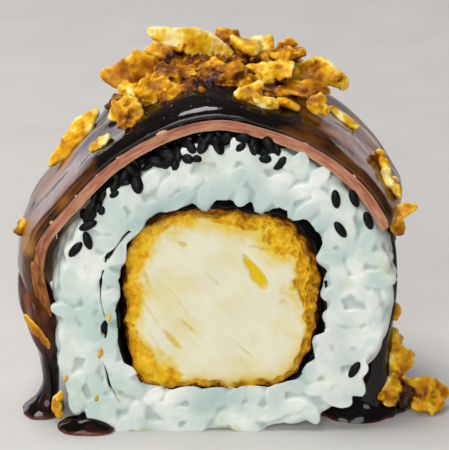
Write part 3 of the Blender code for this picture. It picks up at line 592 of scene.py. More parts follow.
def scatterTree(name):
    # ellipsoids lying on the faces of a mesh, at least a spacing apart, turned and sized at random
    tree = bpy.data.node_groups.new(name, "GeometryNodeTree")
    floats = {"Spacing": 2.4, "Length": 6.0, "Width": 2.9, "Thickness": 2.4, "Sunk": 1.0, "Tilt": 0.2, "Uneven": 0.15}
    whole = {"Seed": 1, "Sides": 12}
    for label, kind in (
        ("Geometry", "NodeSocketGeometry"),
        *((label, "NodeSocketFloat") for label in floats),
        *((label, "NodeSocketInt") for label in whole),
        ("Finish", "NodeSocketMaterial"),
    ):
        socket = tree.interface.new_socket(label, in_out="INPUT", socket_type=kind)
        if label in floats or label in whole:
            socket.default_value = {**floats, **whole}[label]
    tree.interface.new_socket("Geometry", in_out="OUTPUT", socket_type="NodeSocketGeometry")
    given = addNode(tree, "NodeGroupInput").outputs
    spacing, sunk, length, width, thickness = (
        addNode(tree, "ShaderNodeMath", {"operation": "MULTIPLY"}, {0: given[label], 1: factor})
        for label, factor in (("Spacing", mm), ("Sunk", -mm), ("Length", mm / 2), ("Width", mm / 2), ("Thickness", mm / 2))
    )
    dense = addNode(tree, "GeometryNodeInputNamedAttribute", {"data_type": "FLOAT"}, {"Name": "density"})
    spread = addNode(tree, "GeometryNodeDistributePointsOnFaces", {"distribute_method": "POISSON"}, {
        "Mesh": given["Geometry"], "Distance Min": spacing, "Density Max": 3.0e6, "Density Factor": dense, "Seed": given["Seed"],
    })
    sink = addNode(tree, "ShaderNodeVectorMath", {"operation": "SCALE"}, {0: spread.outputs["Normal"], "Scale": sunk})
    moved = addNode(tree, "GeometryNodeSetPosition", inputs={"Geometry": spread, "Offset": sink})
    lean = addNode(tree, "ShaderNodeCombineXYZ", inputs={0: given["Tilt"], 1: given["Tilt"], 2: math.pi})
    leanBack = addNode(tree, "ShaderNodeVectorMath", {"operation": "SCALE"}, {0: lean, "Scale": -1.0})
    leans = {0: leanBack, 1: lean, "Seed": given["Seed"]}
    angles = addNode(tree, "FunctionNodeRandomValue", {"data_type": "FLOAT_VECTOR"}, leans)
    turn = addNode(tree, "FunctionNodeEulerToRotation", inputs={0: angles})
    facing = addNode(tree, "FunctionNodeRotateRotation", {"rotation_space": "LOCAL"}, {0: spread.outputs["Rotation"], 1: turn})
    half = addNode(tree, "ShaderNodeCombineXYZ", inputs={0: length, 1: width, 2: thickness})
    least, most = (
        addNode(tree, "ShaderNodeMath", {"operation": way}, {0: 1.0, 1: given["Uneven"]}) for way in ("SUBTRACT", "ADD")
    )
    size = addNode(tree, "FunctionNodeRandomValue", {"data_type": "FLOAT"}, {2: least, 3: most, "Seed": given["Seed"]})
    scale = addNode(tree, "ShaderNodeVectorMath", {"operation": "SCALE"}, {0: half, "Scale": size})
    rings = addNode(tree, "ShaderNodeMath", {"operation": "MULTIPLY"}, {0: given["Sides"], 1: ringShare})
    ball = addNode(tree, "GeometryNodeMeshUVSphere", inputs={"Segments": given["Sides"], "Rings": rings, "Radius": 1.0})
    laid = addNode(
        tree,
        "GeometryNodeInstanceOnPoints",
        inputs={"Points": moved, "Instance": ball, "Rotation": facing, "Scale": scale},
    )
    real = addNode(tree, "GeometryNodeRealizeInstances", inputs={"Geometry": laid})
    painted = addNode(tree, "GeometryNodeSetMaterial", inputs={"Geometry": real, "Material": given["Finish"]})
    addNode(tree, "NodeGroupOutput", inputs={0: painted})
    return tree


scatter = scatterTree("scatterOnFaces")


def scattered(name, skin, values):
    # the pieces that the scatter tree lays on a skin, as a plain mesh
    holder = skin.copy()
    holder.data = skin.data.copy()
    holder.name = name
    bpy.context.scene.collection.objects.link(holder)
    modifier = holder.modifiers.new("scatter", "NODES")
    modifier.node_group = scatter
    for item in scatter.interface.items_tree:
        if item.item_type == "SOCKET" and item.in_out == "INPUT" and item.name in values:
            modifier[item.identifier] = values[item.name]
    bake(holder)
    holder.data.shade_smooth()
    return holder


riceLook = {
    "skin": 0.6,  # bare core to the crowns of the grains, on the walls
    "faceSkin": 0.9,
    "grainLength": 5.3,
    "grainWidth": 2.7,
    "grainThickness": 2.3,
    "spacing": 2.5,
    "cutThrough": 0.22,  # how far the knife took the crowns off the grains on the faces
    "voxel": 0.32,
    "dip": 1.2,  # the rice stops this short of the beef at the cut faces, where sesame fills in
    "cutFlat": 12.75,  # the knife takes the crowns on the faces down to this depth
    "faceDepth": 12.95,  # and the cut grains swell back to this
    # angle round the cutlet, half width in degrees, how far the rice creeps in over the nori's edge
    "lobes": (
        (100, 4.0, 1.9), (80, 3.0, 0.8), (67, 4.5, 2.7), (51, 3.0, 1.5), (22, 6.0, 2.2), (7, 8.0, 1.8), (349, 3.0, 0.9),
        (333, 5.0, 2.0), (318, 5.0, 0.9), (303, 7.0, 0.8), (287, 9.0, 0.75), (268, 11.0, 0.75), (250, 8.0, 1.1),
        (235, 7.0, 1.3), (222, 5.0, 1.2), (196, 6.0, 0.3), (176, 7.0, 1.0), (160, 9.0, 1.1), (140, 7.0, 0.6), (118, 5.0, 0.4),
    ),
}


def riceDip(degrees, y):
    crown = smoothStep(degrees, 56, 74) * smoothStep(degrees, 160, 138)
    side = 0.5 * smoothStep(degrees, 16, 30) * smoothStep(degrees, 76, 62)
    return riceLook["dip"] * smoothStep(np.abs(y), 8.0, 12.3) * np.maximum(crown, side)


def riceCore():
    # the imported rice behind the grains, as rings from front to back
    around, rings = 180, []
    angle = np.linspace(0, 2 * np.pi, around, endpoint=False)
    half = rollDepth / 2 - riceLook["faceSkin"]
    for y in np.linspace(-half, half, 15):
        x, z = riceEdge(angle, riceForm["swell"] * depthSwell(y) - riceLook["skin"] - riceDip(np.degrees(angle), y))
        rings.append(xyz(x, y, z))
    return meshObject("riceCore", np.vstack(rings), drumFaces(len(rings), around))


def riceSkins():
    # open sheets to lay grains on: the two cut faces round the nori, and the wall above the table
    around, steps = 140, 7
    degrees = np.linspace(0, 360, around, endpoint=False)
    edgeX, edgeZ = riceEdge(np.radians(degrees), -0.5 - riceDip(degrees, 13.0))
    innerX, innerZ = noriPoint(np.where(degrees > noriForm["start"], degrees, degrees + 360), 0.5, tail=False)
    points = []
    for side in (-1, 1):
        y = side * (rollDepth / 2 - riceLook["grainThickness"] / 2 + riceLook["cutThrough"])
        for share in np.linspace(0, 1, steps):
            points.append(xyz(innerX + (edgeX - innerX) * share, y, innerZ + (edgeZ - innerZ) * share))
    faces = gridFaces(steps, around, wrapped=True)
    faces += gridFaces(steps, around, wrapped=True, start=steps * around, flipped=True)
    faceSkin = meshObject("riceFaceSkin", np.vstack(points), faces, closed=False)
    around, steps = 220, 11
    angle = np.radians(np.linspace(-62, 242, around))
    points = []
    for y in np.linspace(-rollDepth / 2 + 1.3, rollDepth / 2 - 1.3, steps):
        lower = riceLook["grainThickness"] / 2 - 0.05 + riceDip(np.degrees(angle), y)
        x, z = riceEdge(angle, riceForm["swell"] * depthSwell(y) - lower)
        points.append(xyz(x, y, z))
    wallSkin = meshObject("riceWallSkin", np.vstack(points), gridFaces(steps, around), closed=False)
    for skin in (faceSkin, wallSkin):
        writeAttribute(skin, "density", np.ones(len(skin.data.vertices)))
    return faceSkin, wallSkin


def tailCovered(degrees):
    # 1 where grains have closed over the tail of the sheet at the cut face
    covered = smoothStep(lumps(xyz(degrees / 9.0, 0.0, 3.3), 1.0, 2.0, 2), 0.08, 0.26)
    return covered * tailShare(degrees) * (1 - noriFolded(degrees))


def noriStrip(name, clearance, coveredHalf, openHalf, turnHalf, steps=420, rows=2, material=None):
    # the wound sheet as a closed strip; used for the nori and for the room that it takes
    degrees = np.linspace(noriForm["start"], noriForm["end"], steps)
    half = openHalf + (coveredHalf - openHalf) * tailCovered(degrees)
    half = half + (turnHalf - half) * smoothStep(degrees, noriForm["leaves"] + 12, noriForm["leaves"] + 2)
    thin = np.clip(0.55 - 0.9 * lumps(xyz(degrees / 5.0, 6.1, 2.2), 1.0, 3.0, 2), 0.15, 0.72)
    folded = noriFolded(degrees)
    thickness = (noriForm["thickness"] + clearance) * (1 - thin * tailShare(degrees) * (1 - folded) + 0.9 * folded)
    layers = []
    for side in (-0.5, 0.5):
        x, z = noriPoint(degrees, side * thickness)
        layers += [xyz(x, share * half, z) for share in edgeSpaced(-1, 1, rows)]
    return meshObject(name, np.vstack(layers), slabFaces(rows, steps, turned=True), material)


def pocketCutter():
    # everything inside the first turn of nori; at the faces the rice creeps over the sheet's edge in lobes
    around = 240
    degrees = np.linspace(noriForm["start"], noriForm["start"] + 360, around, endpoint=False)
    depths = (11.4, 12.0, 12.5, 12.9, 13.3, 20.0)
    rings = []
    for y in (*(-y for y in reversed(depths)), *depths):
        baseX, baseZ = noriPoint(degrees, 0.15, tail=False)
        lobes = 0.4 * np.clip(lumps(xyz(baseX, 3.0 * np.sign(y), baseZ), 1.8, 5.0, 2), 0, 1)
        for centre, half, reach in riceLook["lobes"]:
            away = np.abs((degrees - centre - 50 * (y > 0) + 180) % 360 - 180)
            lobes = np.maximum(lobes, reach * smoothStep(away, 1.7 * half, 0.3 * half))
        x, z = noriPoint(degrees, 0.15 - lobes * smoothStep(abs(y), 11.4, 12.8), tail=False)
        rings.append(xyz(x, y, z))
    return meshObject("pocket", np.vstack(rings), drumFaces(len(rings), around))


def grainTones(grains, sides=12):
    # a point or two of every grain, and a tone for it
    points = np.vstack([readPoints(g) for g in grains])
    each = sides * (int(sides * ringShare) - 1) + 2
    tones = np.random.default_rng(7).uniform(-1, 1, len(points) // each + 1)
    tree = KDTree(len(points) // 3 + 1)
    for i in range(0, len(points), 3):
        tree.insert(points[i], i)
    tree.balance()
    return lambda places: np.array([tones[tree.find(p)[1] // each] for p in places.tolist()])


def buildRice():
    faceSkin, wallSkin = riceSkins()
    grain = {
        "Spacing": riceLook["spacing"],
        "Length": riceLook["grainLength"],
        "Width": riceLook["grainWidth"],
        "Thickness": riceLook["grainThickness"],
        "Sunk": 0.0,
        "Tilt": 0.28,
        "Uneven": 0.14,
        "Finish": riceFinish,
    }
    faceGrains = scattered("faceGrains", faceSkin, {**grain, "Seed": 3})
    wallGrains = scattered("wallGrains", wallSkin, {**grain, "Seed": 5})
    removeObjects(faceSkin, wallSkin)
    toneAt = grainTones((faceGrains, wallGrains))
    rice = joined("riceGrains", [riceCore(), faceGrains, wallGrains], riceFinish)
    shaped(rice, "REMESH", mode="VOXEL", voxel_size=riceLook["voxel"] * mm)
    shaped(rice, "SMOOTH", iterations=1, factor=0.5)
    points = readPoints(rice)
    flat = riceLook["cutFlat"]
    points[:, 1] = np.clip(points[:, 1], -flat, flat)
    points[:, 1] += np.sign(points[:, 1]) * (riceLook["faceDepth"] - flat) * smoothStep(np.abs(points[:, 1]), 10.5, flat)
    points[:, 2] = np.maximum(points[:, 2], 0.0)
    uneven = 0.12 + 0.14 * lumps(points, 5.0, 7.0, 2)
    points[:, 1] -= np.sign(points[:, 1]) * smoothStep(np.abs(points[:, 1]), 12.2, 12.9) * uneven
    writePoints(rice, points)
    shaped(rice, "SMOOTH", iterations=1, factor=0.5)
    for cutter in (pocketCutter(), noriStrip("slit", 0.16, 12.45, 15.0, 11.0)):
        shaped(rice, "BOOLEAN", operation="DIFFERENCE", solver="MANIFOLD", object=cutter)
        removeObjects(cutter)
    points = readPoints(rice)
    across, up = points[:, 0] - cutletForm["middle"][0], points[:, 2] - cutletForm["middle"][1]
    # painted shade: the rice is tinted cooler next to the nori, more so towards the top, where the dark sheet shows
    # through it; random cool patches are added below
    inner = smoothStep(np.hypot(up, across), 19.5, 15.5) * (0.55 + 0.45 * smoothStep(points[:, 2], 22, 34))
    spots = smoothStep(lumps(points, 4.2, 9.0, 2), 0.32, 0.75) * (0.35 + 0.65 * smoothStep(points[:, 2], 9, 2))
    # painted shade: darker and greyer in the creases between the grains
    writeAttribute(rice, "crease", np.clip(hollowness(rice, 4) * 5.0, 0, 0.55))
    writeAttribute(rice, "tone", toneAt(points))
    writeAttribute(rice, "cool", np.clip(inner * 0.55 + 0.45 * lumps(points, 4.0, 2.0, 2), 0, 0.8))
    writeAttribute(rice, "olive", np.clip(spots * 0.8, 0, 0.8))
    rice.data.materials.clear()
    rice.data.materials.append(riceFinish)
    rice.data.shade_smooth()
    return rice


rice = buildRice()
print("rice:", len(rice.data.polygons), "faces")

seedLook = {
    "length": 2.75,
    "width": 1.65,
    "thickness": 0.95,
    "spacing": 1.6,
    "bandSpacing": 1.05,
    "faceWidth": 1.25,
    "onFace": (  # across, up, slope in degrees
        (-18.3, 33.3, 60), (-18.7, 30.9, 25), (-18.8, 28.7, 105), (-20.5, 27.4, 50),
        (15.2, 34.7, 98), (17.7, 34.8, 112), (15.9, 30.3, 124), (19.7, 31.6, 110), (18.2, 9.5, 60),
    ),
}


def seedBand():
    # open strips at both cut faces, in the gap between the rice and the beef
    across, rows = 150, 4
    degrees = np.linspace(30, 166, across)
    layers = ((-1.9, 0.2, 12.35), (-1.2, 0.4, 11.2), (-0.8, 0.5, 9.6))  # lowest, highest, depth
    crown = np.maximum(smoothStep(degrees, 61, 73), 0.05)
    points, faces, density = [], [], []
    for side in (-1, 1):
        for low, high, y in layers:
            faces += gridFaces(rows, across, start=len(points) * across, flipped=side < 0)
            for share in np.linspace(0, 1, rows):
                x, z = riceEdge(np.radians(degrees), low + (high - low) * share)
                points.append(xyz(x, side * y, z))
                clumps = smoothStep(lumps(points[-1], 6.0, 4.0 + side, 2), -0.42, -0.05)
                inwards = 1 if share > 0.5 else smoothStep(lumps(points[-1], 4.5, 8.0), -0.05, 0.25)
                density.append(clumps * inwards * crown * smoothStep(degrees, 159, 150))
    band = meshObject("seedBand", np.vstack(points), faces, closed=False)
    writeAttribute(band, "density", np.concatenate(density))
    return band


def buildSesame():
    points, normals = readPoints(rice), readVectors(rice, "normal")
    across, up = points[:, 0], points[:, 2] - riceForm["middleZ"]
    out = np.hypot(across, up)
    angle = np.degrees(np.arctan2(up, across)) % 360
    outward = (normals[:, 0] * across + normals[:, 2] * up) / np.maximum(out, 1)
    edgeX, edgeZ = riceEdge(np.radians(angle), 0.0)
    outer = smoothStep(outward, 0.15, 0.5) * (out > np.hypot(edgeX, edgeZ - riceForm["middleZ"]) - 2.2)
    crown = smoothStep(angle, 60, 74) * smoothStep(angle, 152, 142) * (np.abs(points[:, 1]) > 7.5)
    right = smoothStep(angle, 20, 34) * smoothStep(angle, 66, 56) * 0.04
    walls = ((angle < 30) | (angle > 300) | ((angle > 165) & (angle < 235))) * (points[:, 1] > -8) * 0.03
    writeAttribute(rice, "density", outer * np.maximum(crown, np.maximum(walls, right)))
    lying = {
        "Spacing": seedLook["spacing"],
        "Length": seedLook["length"],
        "Width": seedLook["width"],
        "Thickness": seedLook["thickness"],
        "Sunk": -0.15,
        "Tilt": 0.35,
        "Uneven": 0.12,
        "Sides": 14,
        "Finish": seedFinish,
        "Seed": 11,
    }
    coat = scattered("seedCoat", rice, lying)
    band = seedBand()
    filling = scattered("seedFilling", band, {**lying, "Spacing": seedLook["bandSpacing"], "Tilt": 0.55, "Sides": 10, "Seed": 23})
    removeObjects(band)
    shape = bmesh.new()
    halves = [seedLook[key] / 2 for key in ("length", "thickness", "faceWidth")]
    for x, z, slope in seedLook["onFace"]:
        addBall(shape, (x, -rollDepth / 2 + 0.05, z), Matrix.Rotation(-math.radians(slope), 4, "Y"), halves, 16, 11)
    return joined("sesameSeeds", [coat, filling, fromShape("faceSeeds", shape)], seedFinish)


sesame = buildSesame()
print("sesame:", len(sesame.data.polygons), "faces")


cutletLook = {
    "faceInset": 0.3,
    # angle round the slice, and the width of the coat there
    "coatWidths": (
        (0, 3.0), (25, 3.9), (50, 4.4), (75, 2.6), (100, 1.7), (130, 2.5), (155, 2.6), (185, 2.0),
        (205, 1.8), (220, 2.2), (234, 2.8), (246, 1.6), (262, 0.6), (285, 0.3), (312, 0.8), (345, 2.2), (360, 3.0),
    ),
    "browned": (
        (0, 0.40), (25, 0.70), (45, 0.75), (70, 0.6), (95, 0.9), (120, 0.6), (145, 0.34), (170, 0.20),
        (200, 0.14), (215, 0.05), (300, 0.0), (320, 0.12), (345, 0.4), (360, 0.40),
    ),
    # how coarse the crumbs are: in broken lumps at the right, smooth and oily at the left
    "coarse": (
        (0, 1.0), (60, 1.0), (90, 0.65), (115, 0.4), (150, 0.3), (215, 0.4), (230, 0.35), (300, 0.5), (330, 0.9), (360, 1.0),
    ),
    # how far the coat has shrunk from the nori; below 0 it bulges out to it
    "gaps": (
        (0, 0.6), (15, 0.6), (30, 0.9), (45, 1.0), (60, 0.9), (76, 1.1), (90, 0.8), (105, 0.5), (118, 0.7), (130, 0.5),
        (142, 0.0), (155, 0.05), (180, 0.4), (200, 0.8), (211, 0.5), (221, -0.4), (240, -0.45), (254, 0.0), (300, 0.0),
        (325, 0.9), (345, 0.9), (360, 0.6),
    ),
    "slits": (  # across, up, slope in degrees, length, width
        (4.2, 23.9, -57, 6.4, 1.7), (-7.2, 8.4, 0, 3.0, 0.8), (-10.6, 22.8, -72, 3.0, 0.4), (-5.7, 28.0, -25, 1.5, 0.5),
        (-5.1, 15.9, -47, 3.4, 0.4), (-7.3, 13.9, -52, 4.4, 0.6), (-10.8, 18.6, -58, 7.5, 0.16), (-6.4, 19.6, -56, 5.0, 0.12),
        (-9.6, 13.4, -60, 5.0, 0.12), (-1.4, 22.6, -40, 2.2, 0.22), (5.6, 27.2, -14, 4.8, 0.4), (2.6, 12.4, -40, 4.0, 0.10),
    ),
}


def buildCutlet():
    around, radial, sides = 460, 78, 20
    angle = np.linspace(0, 2 * np.pi, around, endpoint=False)
    halfDepth = rollDepth / 2 - cutletLook["faceInset"]
    outline = cutletRadius(angle)
    share = np.sqrt(np.linspace(0, 1, radial + 1))[1:]
    share = np.concatenate([share[share < 0.8], np.linspace(0.8, 1.0, 34)])
    rings = [(-halfDepth, s) for s in share]
    rings += [(y, 1.0) for y in np.linspace(-halfDepth, halfDepth, sides + 2)[1:-1]]
    rings += [(halfDepth, s) for s in share[::-1]]
    points = np.vstack([xyz(outline * s * np.cos(angle), y, outline * s * np.sin(angle)) for y, s in rings])
    depthIn = np.concatenate([outline - outline * s for y, s in rings])
    side = np.repeat([math.copysign(1.0, y) if s < 1 else 0.0 for y, s in rings], around)
    degrees = np.tile(np.degrees(angle), len(rings))
    width, browned, rough, gap = (tableAt(degrees, cutletLook[key]) for key in ("coatWidths", "browned", "coarse", "gaps"))
    ragged = (1.3 * lumps(points, 3.2, 1.0, 3) + 0.4 * lumps(points, 0.7, 3.0, 2)) * np.clip(width / 2.6, 0.3, 1.1)
    soft = 0.55 - 0.33 * rough
    coatShare = smoothStep(depthIn + ragged, width + soft, width - soft)
    topRight = smoothStep(degrees, 20, 45) * smoothStep(degrees, 112, 80)
    stain = smoothStep(depthIn + 1.6 * ragged, width + 2.2 + 2.0 * topRight, width - 0.4)
    outward = points * np.array((1, 0, 1))
    outward /= np.maximum(np.linalg.norm(outward, axis=1), 0.01)[:, None]
    rim = smoothStep(depthIn, 3.0, 0.0)
    crumbly = ridges(points, 2.3, 5.0, 3)
    torn = 0.6 * lumps(points, 2.6, 6.0, 3) + 0.5 * (crumbly - 0.4) - gap * smoothStep(np.abs(points[:, 1]), 8.0, 12.0)
    points = points + outward * (rim * np.clip(torn, -1.6, 0.25 + np.maximum(0.0, -gap)))[:, None]
    crumbed = 0.15 + rough * (0.05 + 1.05 * (0.75 - crumbly)) + (0.2 + 0.3 * rough) * lumps(points, 3.0, 8.0, 2)
    inY = 0.2 + coatShare * crumbed + rim ** 4 * 0.5
    # the meat parts along its fibres, which run down to the right
    fibreWay, fibreAcross = np.array((0.64, 0.0, -0.77)), np.array((0.77, 0.0, 0.64))
    stretched = xyz(points @ fibreAcross, points[:, 1], points @ fibreWay * 0.22)
    parting = 0.07 * smoothStep(ridges(stretched, 2.4, 12.0, 2), 0.80, 0.98)
    inY = inY + (1 - coatShare) * (parting + 0.015 * lumps(stretched, 0.8, 4.0) + 0.25 * lumps(points, 6.0, 14.0))
    slit = np.zeros(len(points))
    across, up = points[:, 0] + cutletForm["middle"][0], points[:, 2] + cutletForm["middle"][1]
    wander = 0.35 * lumps(points, 1.3, 16.0, 2)
    for x, z, slope, length, wide in cutletLook["slits"]:
        c, s = math.cos(math.radians(slope)), math.sin(math.radians(slope))
        u, v = (across - x) * c + (up - z) * s, -(across - x) * s + (up - z) * c
        taper = np.clip(1 - (2 * u / length) ** 2, 0, 1)
        lowerEnd = 0.45 + 0.55 * np.clip(u / length + 0.5, 0, 1) * 1.6  # wider there
        halfWidth = wide / 2 * np.sqrt(taper) * lowerEnd
        hole = smoothStep(np.abs(v + 0.5 * wander) - halfWidth - 0.3 * wander, 0.2, -0.2) * np.sqrt(taper)
        slit = np.maximum(slit, np.clip(1.25 * hole, 0, 1) * min(1.0, 0.4 + 0.55 * wide))
    inY = inY + slit * 0.35 * (1 - coatShare)
    points[:, 1] -= side * np.maximum(inY, 0.0)
    points = points + np.array((cutletForm["middle"][0], 0.0, cutletForm["middle"][1]))
    tips = points[:around].mean(axis=0), points[-around:].mean(axis=0)
    cutlet = meshObject("cutletSlice", np.vstack([points, *tips]), fannedFaces(len(rings), around), cutletFinish)
    # dark along the outer edge and down the sides, with broken brown patches between
    toasted = browned * smoothStep(depthIn, 0.4 + 2.2 * rough, 0.1) * 1.1 + 0.75 * lumps(points, 2.4, 21.0, 3) * browned
    toasted = np.where(side == 0, 1.0, toasted)
    for name, values in (("coat", coatShare), ("stain", stain), ("slit", slit), ("browned", toasted)):
        writeAttribute(cutlet, name, np.append(np.clip(values, 0, 1), (0.0, 0.0)))
    # painted shade: darker in the crevices, mostly in the coat
    crease = np.clip(hollowness(cutlet, 5) * 4.0, 0, 0.8)
    writeAttribute(cutlet, "crease", crease * (0.15 + 0.85 * np.append(coatShare, (0.0, 0.0))))
    return cutlet


cutlet = buildCutlet()
print("cutlet:", len(cutlet.data.polygons), "faces")


def buildNori():
    steps, rows = 460, 34
    nori = noriStrip("noriSheet", 0.0, 11.9, 12.7, 12.7, steps=steps, rows=rows, material=noriFinish)
    points = readPoints(nori)
    degrees = np.tile(np.linspace(noriForm["start"], noriForm["end"], steps), 2 * rows)
    firstTurn = smoothStep(degrees, noriForm["leaves"], noriForm["leaves"] - 25)
    flat = xyz(points[:, 0], np.sign(points[:, 1]) * 9.0, points[:, 2])
    ragged = lumps(flat, 2.8, 4.0, 2) + 0.6 * lumps(flat, 0.9, 6.0, 2)
    edge = smoothStep(np.abs(points[:, 1]), 10.0, 12.6)
    points[:, 1] -= np.sign(points[:, 1]) * edge * np.clip(0.6 + 0.9 * ragged, 0.2, 1.8)
    inwards = -xyz(points[:, 0] - cutletForm["middle"][0], 0.0, points[:, 2] - cutletForm["middle"][1])
    inwards /= np.linalg.norm(inwards, axis=1)[:, None]
    # over the cutlet the sheet's edge sinks with the coat, so that the gap shows its dark outside
    gap = tableAt(degrees % 360, cutletLook["gaps"]) + 0.7 * noriSlack(np.radians(degrees))
    sunk = gap * smoothStep(np.sin(np.radians(degrees)), -0.1, 0.4) * smoothStep(np.abs(points[:, 1]), 8.0, 12.0)
    curled = edge * np.clip(0.6 * lumps(flat, 3.0, 15.0, 2), 0, 0.4)
    points += inwards * ((sunk + curled) * firstTurn)[:, None]
    writePoints(nori, points)
    return nori


nori = buildNori()
print("nori:", len(nori.data.polygons), "faces")


def endTaper(share):
    near = np.minimum(share, 1 - share) / beefForm["endRounding"]
    return np.sqrt(np.maximum(0.0, 1 - np.maximum(0.0, 1 - near) ** 2)) * 0.8 + 0.2


def roundOver(y, width):
    # 0 at a cut face, rising on a quarter circle to 1 this far inside
    inside = np.clip((rollDepth / 2 - np.abs(y)) / width, 0, 1)
    return np.sqrt(1 - (1 - inside) ** 2)


def beefLow(share):
    return beefForm["thickness"] * 0.35 * (1 - endTaper(share))


def beefHigh(share, y):
    drop = (beefForm["thickness"] - beefForm["cutEdge"]) * (1 - roundOver(y, 1.6))
    return (beefForm["thickness"] - drop) * (0.35 + 0.65 * endTaper(share))


def buildBeef():
    steps, rows, layers = 330, 54, 12
    share = np.linspace(0, 1, steps)
    depths = edgeSpaced(-rollDepth / 2, rollDepth / 2, rows)
    # a closed loop round the slab's section in depth: under, back edge, over, front edge
    loop = [(y, 0.0) for y in depths] + [(depths[-1], f) for f in np.linspace(0, 1, layers + 2)[1:-1]]
    loop += [(y, 1.0) for y in depths[::-1]] + [(depths[0], f) for f in np.linspace(1, 0, layers + 2)[1:-1]]
    points, uv, margin = [], [], []
    for y, f in loop:
        ys = np.full(steps, y)
        points.append(beefPlace(share, ys, beefLow(share) * (1 - f) + beefHigh(share, ys) * f)[0])
        uv.append(np.stack([share * beefForm["arc"], ys + f * beefForm["thickness"]], axis=-1))
        margin.append(np.full(steps, max(0.0, abs(f - 0.5) * 2 - 0.7) / 0.3 if abs(y) > 12.9 else 0.8))
    points = np.vstack(points)
    edge = smoothStep(np.abs(points[:, 1]), 12.2, 13.0)
    along = np.tile(share * beefForm["arc"], len(loop))
    fibre = lumps(xyz(along * 0.16, points[:, 1], points[:, 2] * 0.3 + points[:, 0] * 0.3), 1.3, 2.0, 3)
    points[:, 1] -= np.sign(points[:, 1]) * edge * np.clip(0.28 + 0.25 * fibre + 0.2 * lumps(points, 2.5, 5.0, 2), 0, 0.8)
    faces = gridFaces(len(loop), steps)
    last = (len(loop) - 1) * steps
    faces += [(last + c, last + c + 1, c + 1, c) for c in range(steps - 1)]
    faces += [tuple(i * steps + end for i in range(len(loop))) for end in (0, steps - 1)]
    beef = meshObject("beefSlice", points, faces, beefFinish)
    layer = beef.data.uv_layers.new(name="fibres")
    corner = np.empty(len(beef.data.loops), dtype=np.int64)
    beef.data.loops.foreach_get("vertex_index", corner)
    layer.data.foreach_set("uv", np.vstack(uv)[corner].ravel())
    writeAttribute(beef, "margin", np.clip(np.concatenate(margin), 0, 1))
    soaked = smoothStep(np.tile(share, len(loop)) + 0.08 * lumps(points, 4.0, 31.0, 2), 0.66, 0.84)
    writeAttribute(beef, "soaked", soaked)
    return beef


beef = buildBeef()
print("beef:", len(beef.data.polygons), "faces")

glazeLook = {
    "deepest": 0.6,
    "streamLength": 24.0,
    "streamWidth": 4.4,
    "steps": 360,
    "rows": 84,
    "beads": (  # share along the arc, depth, size
        (0.40, -11.4, 0.30), (0.43, -10.2, 0.42), (0.445, -11.9, 0.25), (0.375, -10.8, 0.28), (0.51, -11.0, 0.34),
        (0.56, -11.6, 0.3), (0.47, -9.0, 0.4), (0.33, -11.6, 0.26), (0.24, -11.0, 0.28), (0.45, 11.2, 0.4),
        (0.36, 11.7, 0.3), (0.55, 10.9, 0.34),
    ),
}


def gridOver(shares, depths):
    return (grid.ravel() for grid in np.meshgrid(shares, depths, indexing="ij"))


def glazeHeight(share, y):
    # streams that run down the arc both ways from the crown, over a thin film; it ends at the cut faces
    along = share * beefForm["arc"]
    streams = lumps(xyz(along / glazeLook["streamLength"], y / glazeLook["streamWidth"], 0.0), 1.0, 3.0, 2)
    swells = lumps(xyz(along / 9.0, y / 7.0, 5.0), 1.0, 6.0, 2)
    ripples = lumps(xyz(along / 4.2, y / 2.2, 9.0), 1.0, 8.0, 2)
    pooled = smoothStep(np.abs(share - 0.40), 0.26, 0.10) * (0.25 + 0.16 * ripples)
    height = 0.24 + 0.26 * streams + 0.30 * swells + pooled + 0.2 * smoothStep(share, 0.62, 0.9)
    ends = smoothStep(np.minimum(share, 1 - share), 0.0, 0.03)
    return np.clip(height, 0.05, glazeLook["deepest"]) * roundOver(y, 0.9) * ends - 0.12 * (1 - ends)


def buildGlaze():
    edge, steps, rows = rollDepth / 2 - 0.12, glazeLook["steps"], glazeLook["rows"]
    share, y = gridOver(np.linspace(0.004, 0.996, steps), edgeSpaced(-edge, edge, rows))
    skin = beefHigh(share, y)
    layers = [beefPlace(share, y, height)[0] for height in (skin - 0.35, skin + glazeHeight(share, y))]
    glaze = meshObject("glazeCoat", np.vstack(layers), slabFaces(steps, rows), glazeFinish)
    place, _ = beefPlace(share, y, skin)
    streaks = lumps(xyz(share * beefForm["arc"] * 0.16, y * 0.7, 1.0), 1.0, 9.0, 3)
    crown = smoothStep(np.abs(share - 0.42), 0.22, 0.12)
    thin = 0.44 + 0.42 * streaks + 0.12 * lumps(place, 5.0, 13.0, 2) - 0.55 * crown
    # bare patches on the left shoulder
    thin += 0.28 * smoothStep(lumps(place, 7.0, 23.0, 2), -0.1, 0.5) * smoothStep(share, 0.52, 0.62)
    writeAttribute(glaze, "thin", np.clip(np.concatenate([thin, thin]), 0, 1))
    shares, depths, sizes = (np.array(column) for column in zip(*glazeLook["beads"]))
    shape = bmesh.new()
    for place, out, size in zip(*beefPlace(shares, depths, beefHigh(shares, depths) + glazeHeight(shares, depths)), sizes):
        turn = Vector(out).to_track_quat("Z", "Y").to_matrix().to_4x4()
        addBall(shape, place, turn, (size, size, size * 0.6), 20, 14)
    return joined("glazeCoat", [glaze, fromShape("beads", shape)], glazeFinish)


glaze = buildGlaze()
print("glaze:", len(glaze.data.polygons), "faces")

